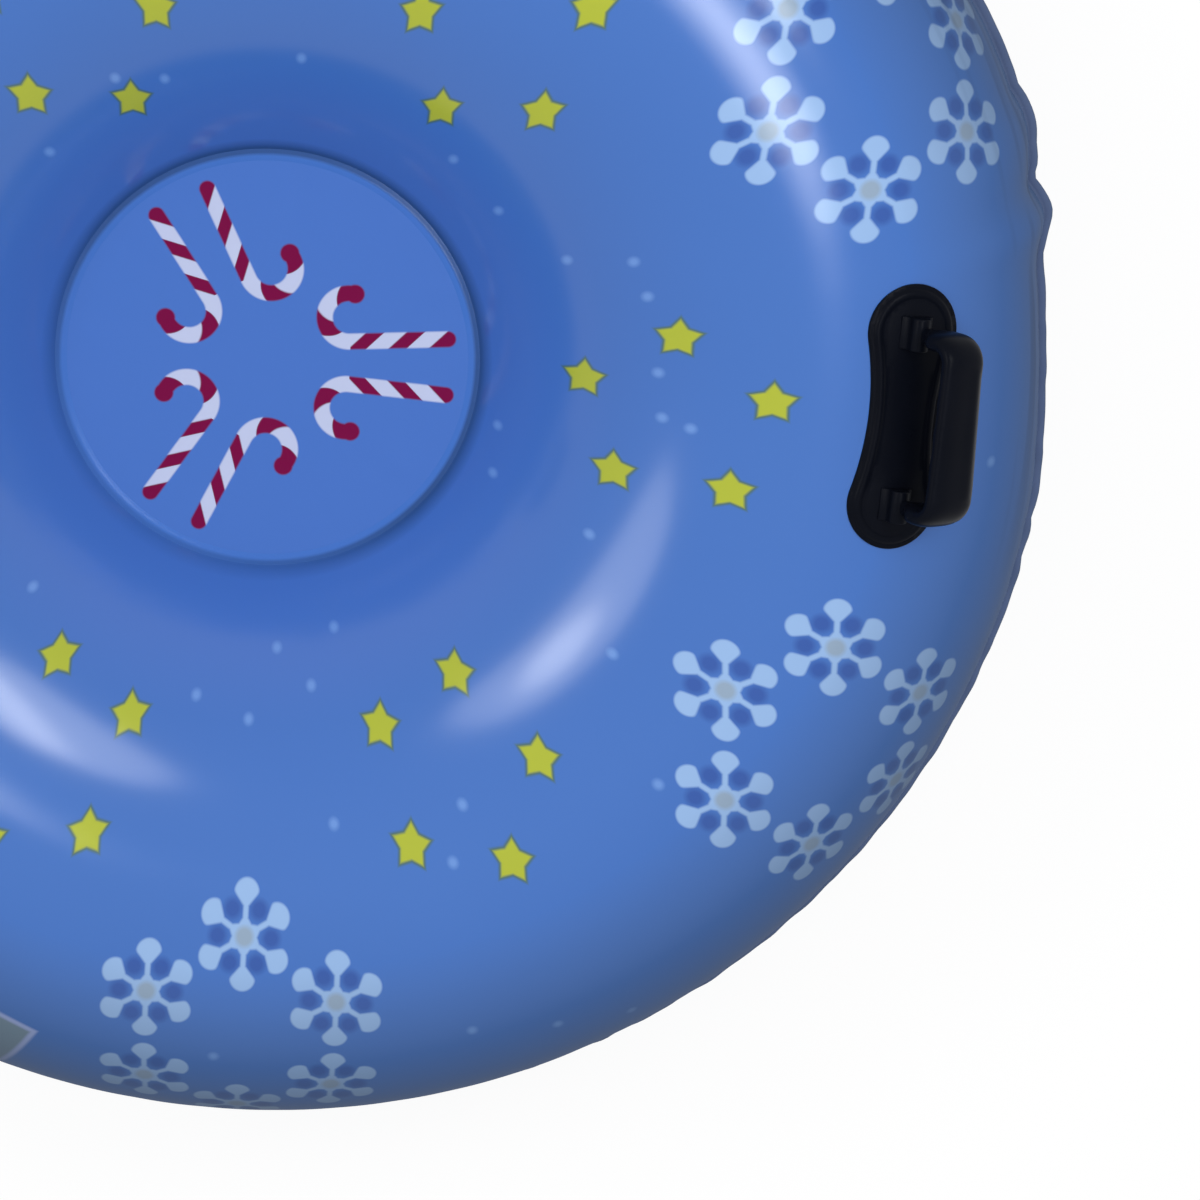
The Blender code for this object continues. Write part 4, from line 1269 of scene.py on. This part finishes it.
def sheet_surface(wire, place, shader, grain, inked=None, coat=None, folds=None):
    """Shared surface of the calendered sheet: fine grain, faint handling marks and uneven gloss."""
    fine = noise(wire, place, FINE_GRAIN)
    peel = noise(wire, place, PEEL_GRAIN)
    slow = noise(wire, place, SLOW_WAVE, 3.0)
    marks = noise(wire, wire.vector("MULTIPLY", place, MARK_STRETCH), MARK_GRAIN, 4.0, 0.7)
    scuffs = wire.math("GREATER_THAN", marks, MARK_LEVEL) * (marks - MARK_LEVEL)
    gloss = SHEET_ROUGHNESS + slow * 0.07 + scuffs * 1.2
    if inked is not None:
        gloss = gloss + inked * INKED_ROUGHNESS
    height = fine * 0.25 + peel * 0.8 + slow * 2.0
    if folds is not None:
        height = height + folds * CREASE_HEIGHT
    if coat is None:
        coat = lean_gloss(wire, SHEET_COAT)
    feed(wire, shader, Roughness=gloss, Normal=bumped(wire, height, grain, 0.5), Specular_IOR_Level=0.0,
         Coat_Weight=coat, Coat_Roughness=SHEET_COAT_ROUGHNESS)


def printed_finish():
    """Glossy blue sheet with its winter print, laid out on the flat sheet."""
    finish, shader, wire = new_finish("printed_vinyl")
    flat = wire.node("ShaderNodeUVMap", {"uv_map": "flat"})
    place = object_place(wire)
    slow = noise(wire, place, COLOUR_WAVE, 3.0)
    base = colour(wire, SHEET_BLUE_DEEP).mixed(SHEET_BLUE, slow)
    # Painted reflection: the sheet pales towards the recess
    base = base.mixed(RECESS_REFLECTION_BLUE, plan_reach(wire, place).ramp(RECESS_START, RECESS_FULL))
    star = star_distance(wire, flat)
    flake, middle, blot = flake_distance(wire, flat)
    speck = speck_distance(wire, flat)
    printed = base.mixed(SPECK_PALE, speck.cover(SPECK_BLUR) * SPECK_STRENGTH)
    printed = printed.mixed(BLOT_BLUE, blot.cover(BLOT_BLUR))
    flake_mask = flake.cover(FLAKE_BLUR)
    printed = printed.mixed(FLAKE_PALE, flake_mask)
    printed = printed.mixed(FLAKE_EYE_GREY, (middle - FLAKE_EYE).cover(2 * FLAKE_BLUR))
    edge_mask = (star - STAR_EDGE).cover(STAR_BLUR)
    printed = printed.mixed(STAR_GREEN, edge_mask)
    printed = printed.mixed(STAR_YELLOW, star.cover(STAR_BLUR))
    label = label_distance(wire, flat)
    printed = printed.mixed(LABEL_PALE, label.cover(2 * INK_BLUR))
    printed = printed.mixed(LABEL_GREY, (label + LABEL_BORDER).cover(2 * INK_BLUR))
    folds, fold_shade = rim_creases(wire, place)
    # Painted shade in the seat's crease and at the turned-away rim goes over the print
    printed = painted_edge_shade(wire, seam_shaded(wire, place, printed))
    # Painted shade on the creases' dark sides
    feed(wire, shader, Base_Color=printed.mixed(CREASE_SHADE, fold_shade * CREASE_SHADING))
    inked = flake_mask.both(edge_mask)
    sheet_surface(wire, place, shader, SHEET_GRAIN, inked, folds=folds)
    return finish


def cane_masks(wire, across, up):
    """Masks of the canes and of their red stripes."""
    reach = reach_of(wire, across, up)
    turn = wire.math("PINGPONG", wire.math("ARCTAN2", up, across), math.pi / 3)
    along = reach * wire.math("COSINE", turn)
    beside = reach * wire.math("SINE", turn)
    out = along - CANE_BEND[0]
    off = beside - CANE_BEND[1]
    ahead = out * math.cos(CANE_LEAN) + off * math.sin(CANE_LEAN)
    aside = off * math.cos(CANE_LEAN) - out * math.sin(CANE_LEAN)
    round_reach = reach_of(wire, ahead, aside)
    straight = aside + CANE_BEND_RADIUS
    over_end = wire.math("MAXIMUM", ahead - CANE_STRAIGHT, 0)
    before = wire.math("MAXIMUM", -ahead, 0)
    bar = wire.math("SQRT", over_end * over_end + straight * straight + before * before) - CANE_HALF
    swing = wire.math("FLOORED_MODULO", wire.math("ARCTAN2", -ahead, -aside), 2 * math.pi)
    in_hook = wire.math("LESS_THAN", swing, CANE_HOOK)
    ring = wire.math("ABSOLUTE", round_reach - CANE_BEND_RADIUS) - CANE_HALF
    end_ahead = -CANE_BEND_RADIUS * math.sin(CANE_HOOK)
    end_aside = -CANE_BEND_RADIUS * math.cos(CANE_HOOK)
    to_end = reach_of(wire, ahead - end_ahead, aside - end_aside)
    hook = (ring * in_hook + (1 - in_hook)).either(to_end - CANE_TIP_RADIUS)
    shape = bar.either(hook)
    on_bar = wire.math("GREATER_THAN", ahead, 0) * wire.math("LESS_THAN", aside, 0)
    bar_run = CANE_STRAIGHT - ahead + straight * STRIPE_SLANT
    hook_run = (CANE_STRAIGHT + swing * CANE_BEND_RADIUS * HOOK_PACE
                + (CANE_BEND_RADIUS - round_reach) * STRIPE_SLANT * HOOK_SLANT)
    last = CANE_STRAIGHT + CANE_HOOK * CANE_BEND_RADIUS * HOOK_PACE
    run = wire.math("MAXIMUM", bar_run, 0) * on_bar + wire.math("MINIMUM", hook_run, last) * (1 - on_bar)
    beat = wire.math("FLOORED_MODULO", run / STRIPE_PERIOD + STRIPE_SHARE / 2, 1.0)
    in_stripe = wire.math("ABSOLUTE", beat - STRIPE_SHARE / 2) - STRIPE_SHARE / 2
    stripe = in_stripe.cover(INK_BLUR / STRIPE_PERIOD)
    return shape.cover(INK_BLUR), stripe


def seat_finish():
    """The same sheet with three pairs of striped canes."""
    finish, shader, wire = new_finish("seat_vinyl")
    place = object_place(wire)
    turned = wire.node("ShaderNodeVectorRotate", {"rotation_type": "Z_AXIS"},
                       {"Vector": place, "Angle": -ART_TURN})
    across, up = split(wire, turned)
    shape, stripe = cane_masks(wire, across, up)
    slow = noise(wire, place, COLOUR_WAVE, 3.0)
    # The seat's blue leans to the recess blue with its painted reflection
    base = colour(wire, SHEET_BLUE).mixed(RECESS_REFLECTION_BLUE, 0.7 + slow * 0.5)
    normal = wire.node("ShaderNodeNewGeometry", output=1)
    top = wire.math("GREATER_THAN", wire.node("ShaderNodeSeparateXYZ", {}, {0: normal}, output=2), 0)
    inked = shape * top
    base = colour(wire, UNDER_BLUE).mixed(base, top)
    cane = colour(wire, CANE_WHITE).mixed(CANE_RED, stripe)
    feed(wire, shader, Base_Color=base.mixed(cane, inked))
    coat = SEAT_COAT - inked * stripe * (SEAT_COAT - INKED_COAT)
    sheet_surface(wire, place, shader, SHEET_GRAIN, inked, coat)
    return finish


def plain_finish(name, light, dark, grain):
    """Plain sheet of the underside."""
    finish, shader, wire = new_finish(name)
    place = object_place(wire)
    slow = noise(wire, place, 6.0, 3.0)
    base = colour(wire, dark).mixed(light, slow)
    # Painted shade darkens the underside where it turns away from the eye
    feed(wire, shader, Base_Color=painted_edge_shade(wire, base))
    sheet_surface(wire, place, shader, grain)
    return finish


def weld_finish(name, ribs_around, light, dark, weld_gloss, shaded=False):
    """The welds: sheet pressed with fine ribs across the weld."""
    finish, shader, wire = new_finish(name)
    place = object_place(wire)
    across, up = split(wire, place)
    turn = wire.math("ARCTAN2", up, across)
    ribs = wire.math("SINE", turn * ribs_around)
    slow = noise(wire, place, WELD_WAVE, 3.0)
    base = colour(wire, light).mixed(dark, slow)
    height = ribs * 0.5 + noise(wire, place, WELD_GRAIN)
    # Painted shade: in the seat's crease on the inner weld, or where the sheet turns from the eye
    base = seam_shaded(wire, place, base) if shaded else painted_edge_shade(wire, base)
    feed(wire, shader, Base_Color=base, Roughness=WELD_ROUGHNESS + slow * 0.1, Specular_IOR_Level=0.0,
         Coat_Weight=lean_gloss(wire, weld_gloss), Coat_Roughness=WELD_COAT_ROUGHNESS,
         Normal=bumped(wire, height, WELD_RELIEF, 0.5))
    return finish


def handle_finish():
    """Glossy black moulding with a fine grain and faint wear."""
    finish, shader, wire = new_finish("handle_moulding")
    place = object_place(wire)
    grain = noise(wire, place, HANDLE_GRAIN)
    slow = noise(wire, place, HANDLE_WAVE, 3.0)
    base = colour(wire, HANDLE_BLACK).mixed(HANDLE_WORN, slow)
    feed(wire, shader, Base_Color=base, Roughness=HANDLE_ROUGHNESS + slow * UNEVEN_GLOSS,
         Specular_IOR_Level=HANDLE_SHINE, Normal=bumped(wire, grain + slow * 2.0, HANDLE_RELIEF, 0.6))
    return finish


def moulded_finish(name, shade, gloss, tint):
    """Moulded plastic or rubber with a faint grain and uneven gloss."""
    finish, shader, wire = new_finish(name)
    place = object_place(wire)
    grain = noise(wire, place, MOULDED_GRAIN)
    slow = noise(wire, place, MOULDED_WAVE, 3.0)
    base = colour(wire, shade).mixed(tint, slow * 0.5)
    feed(wire, shader, Base_Color=base, Roughness=gloss + slow * UNEVEN_GLOSS,
         Specular_IOR_Level=MOULDED_SHINE, Normal=bumped(wire, grain + slow * 1.5, MOULDED_RELIEF, 0.5))
    return finish


# Stage, lights and camera: the floor's own light to the camera and in reflections, and the world's light
FLOOR_SIZE = 60
FLOOR_WHITE = (0.94, 0.94, 0.94, 1)
FLOOR_LIFT = 0.88
AMBIENT = 0.58


def ray_kinds(wire):
    """Whether a ray comes from the camera, by a reflection, and through a clear piece."""
    seen = wire.node("ShaderNodeLightPath")
    others = [seen.socket.node.outputs[name] for name in ("Is Glossy Ray", "Is Transmission Ray")]
    return seen, Wire(wire.tree, others[0]), Wire(wire.tree, others[1])


def build_floor():
    """A plain pale floor that keeps the tube's shadow."""
    bpy.ops.object.select_all(action="DESELECT")
    bpy.ops.mesh.primitive_plane_add(size=FLOOR_SIZE)
    floor = bpy.context.object
    floor.name = "floor"
    finish, shader, wire = new_finish("pale_floor")
    tree = wire.tree
    feed(wire, shader, Base_Color=FLOOR_WHITE, Roughness=0.9, Specular_IOR_Level=0.1)
    seen, glossy, through = ray_kinds(wire)
    white = wire.node("ShaderNodeEmission", {}, {"Color": (1, 1, 1, 1), "Strength": 1.0})
    sockets = {0: (seen + glossy + through) * FLOOR_LIFT, 1: Wire(tree, shader.outputs[0]), 2: white}
    lifted = wire.node("ShaderNodeMixShader", {}, sockets)
    tree.links.new(lifted.socket, tree.nodes["Material Output"].inputs["Surface"])
    floor.data.materials.append(finish)


# Soft boxes: place, way of the long side, long and short sides, power, and whether they show in the gloss
SOFT_BOXES = (
    ("left_wide", (-1.60, 0.56, 2.04), (0.36, 0.93, 0.03), 1.83, 0.85, 13.0, True),
    ("left_core", (-1.55, 0.69, 2.04), (0.36, 0.93, 0.03), 0.55, 0.45, 4.0, True),
    ("right_wide", (0.87, 1.17, 2.23), (0.93, -0.27, -0.24), 1.25, 0.72, 9.5, True),
    ("right_core", (1.06, 0.85, 2.29), (0.91, -0.27, -0.35), 0.85, 0.50, 7.0, True),
    ("crest_fill", (0.69, 0.14, 2.59), (0.80, 0.55, -0.25), 1.15, 0.62, 14.9, False),
    ("fill", (-0.15, 0.25, 2.95), (1.0, 0.0, 0.0), 2.4, 2.4, 6.0, False),
)
# Gridded boxes that show only in the gloss, over the far right of the crest
GRIDDED_BOXES = (
    ("crest_wide", (0.69, 0.14, 2.59), (0.80, 0.55, -0.25), 1.15, 0.62, 0.370),
    ("crest_core", (0.66, 0.10, 2.60), (0.80, 0.55, -0.25), 0.55, 0.38, 0.027),
)
GRID_SPREAD = math.radians(28.5)
GRID_AIM = Vector((0.29, 0.17, 0.26))


def build_world():
    """White to the camera and in reflections, and a plain soft light on the tube."""
    world = bpy.data.worlds.new("studio")
    bpy.context.scene.world = world
    world.use_nodes = True
    tree = world.node_tree
    seen, glossy, through = ray_kinds(Wire(tree))
    shown = seen.both(glossy.both(through))
    strength = AMBIENT + shown * (1 - AMBIENT)
    back = tree.nodes["Background"]
    back.inputs["Color"].default_value = (1, 1, 1, 1)
    tree.links.new(strength.socket, back.inputs["Strength"])


def build_box(name, place, way, length, width, power, aim):
    """An elliptical soft box, turned to face a point."""
    data = bpy.data.lights.new(name, "AREA")
    data.shape = "ELLIPSE"
    data.size = length
    data.size_y = width
    data.energy = power
    lamp = bpy.data.objects.new(name, data)
    bpy.context.scene.collection.objects.link(lamp)
    back = (Vector(place) - aim).normalized()
    up = back.cross(Vector(way)).normalized()
    lamp.matrix_world = Matrix.Translation(place) @ Matrix((up.cross(back), up, back)).transposed().to_4x4()
    return lamp


def build_lights():
    """Soft boxes round the tube, and the gridded ones for the highlight on its crest."""
    middle = Vector((0, 0, EQUATOR))
    for *box, glossy in SOFT_BOXES:
        lamp = build_box(*box, middle)
        lamp.visible_glossy = glossy
    for box in GRIDDED_BOXES:
        lamp = build_box(*box, GRID_AIM)
        lamp.data.spread = GRID_SPREAD
        lamp.visible_diffuse = False


# The camera looks down on the right and near part of the tube. Tilt and swing are the turns of the
# tube under it, and the rest is its place over the tube's middle.
CAMERA_TILT = math.radians(-15.0)
CAMERA_SWING = math.radians(2.57)
CAMERA_ROLL = math.radians(2.0)
CAMERA_DISTANCE = 2.4
CAMERA_RIGHT = 0.2102
CAMERA_DOWN = 0.1523
CAMERA_LENS = 113.7


def build_camera():
    """The camera at the photograph's angle."""
    to_down = Matrix(((math.cos(CAMERA_ROLL), math.sin(CAMERA_ROLL), 0),
                      (math.sin(CAMERA_ROLL), -math.cos(CAMERA_ROLL), 0), (0, 0, 1)))
    tilt = Matrix.Rotation(CAMERA_TILT, 3, "X")
    swing = Matrix.Rotation(CAMERA_SWING, 3, "Y")
    turned = (tilt @ swing @ to_down).inverted()
    right = turned @ Vector((1, 0, 0))
    up = turned @ Vector((0, -1, 0))
    back = turned @ Vector((0, 0, 1))
    place = turned @ Vector((CAMERA_RIGHT, CAMERA_DOWN, CAMERA_DISTANCE)) + Vector((0, 0, EQUATOR))
    data = bpy.data.cameras.new("camera")
    data.lens = CAMERA_LENS
    data.sensor_width = 36
    camera = bpy.data.objects.new("camera", data)
    bpy.context.scene.collection.objects.link(camera)
    camera.matrix_world = Matrix.Translation(place) @ Matrix((right, up, back)).transposed().to_4x4()
    bpy.context.scene.camera = camera


def build():
    """Dress the whole tube."""
    build_camera()
    build_lights()
    build_world()
    build_floor()
    bpy.context.scene.view_settings.view_transform = "Standard"
    printed = printed_finish()
    under = plain_finish("under_vinyl", UNDER_BLUE, UNDER_BLUE_DEEP, UNDER_GRAIN)
    outer_welded = weld_finish("outer_welded_vinyl", OUTER_RIBS, WELD_BLUE, WELD_BLUE_DEEP, 0.0)
    inner_welded = weld_finish("inner_welded_vinyl", INNER_RIBS, RECESS_REFLECTION_BLUE, SHEET_BLUE,
                               INNER_WELD_GLOSS, True)
    black = handle_finish()
    white = moulded_finish("valve_moulding", VALVE_WHITE, VALVE_ROUGHNESS, VALVE_TINT)
    grey = moulded_finish("valve_seal", SEAL_GREY, SEAL_ROUGHNESS, SEAL_DARK)
    finish_piece(build_skin("printed_skin", 1, TOP_WALL, VALVE), "tube", "printed_pvc", printed, "top_skin")
    finish_piece(build_skin("lower_skin", -1, BOTTOM_WALL), "tube", "plain_pvc", under, "bottom_skin")
    finish_piece(build_outer_weld(), "tube", "plain_pvc", outer_welded, "outer_seam")
    finish_piece(build_inner_weld(), "tube", "plain_pvc", inner_welded, "inner_seam")
    finish_piece(build_seat(), "tube", "printed_pvc", seat_finish(), "seat_panel")
    place = skin_frame(CREST + HANDLE_OUTSET, 0, HANDLE_TURN)
    for side, turn in (("right", 0), ("left", math.pi)):
        here = Matrix.Rotation(turn, 4, "Z") @ place
        finish_piece(build_pad(f"{side}_pad", here), "tube", "handle_pvc", black, f"{side}_handle_pad")
        finish_piece(build_grip(f"{side}_grip_bar", here), f"{side}_grip", "handle_pvc", black,
                     f"{side}_handle_grip")
    finish_piece(build_valve_flange(), "tube", "valve_plastic", white, "valve_base")
    finish_piece(build_valve_body(), "insert", "valve_plastic", white, "valve_insert")
    finish_piece(build_valve_plug(), "cap", "valve_plastic", white, "valve_cap")
    finish_piece(build_valve_strap(), "insert", "valve_plastic", white, "valve_tether")
    for node in ("valve_washer", "valve_flap"):
        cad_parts[node].data.materials.clear()
        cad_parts[node].data.materials.append(grey)


build()
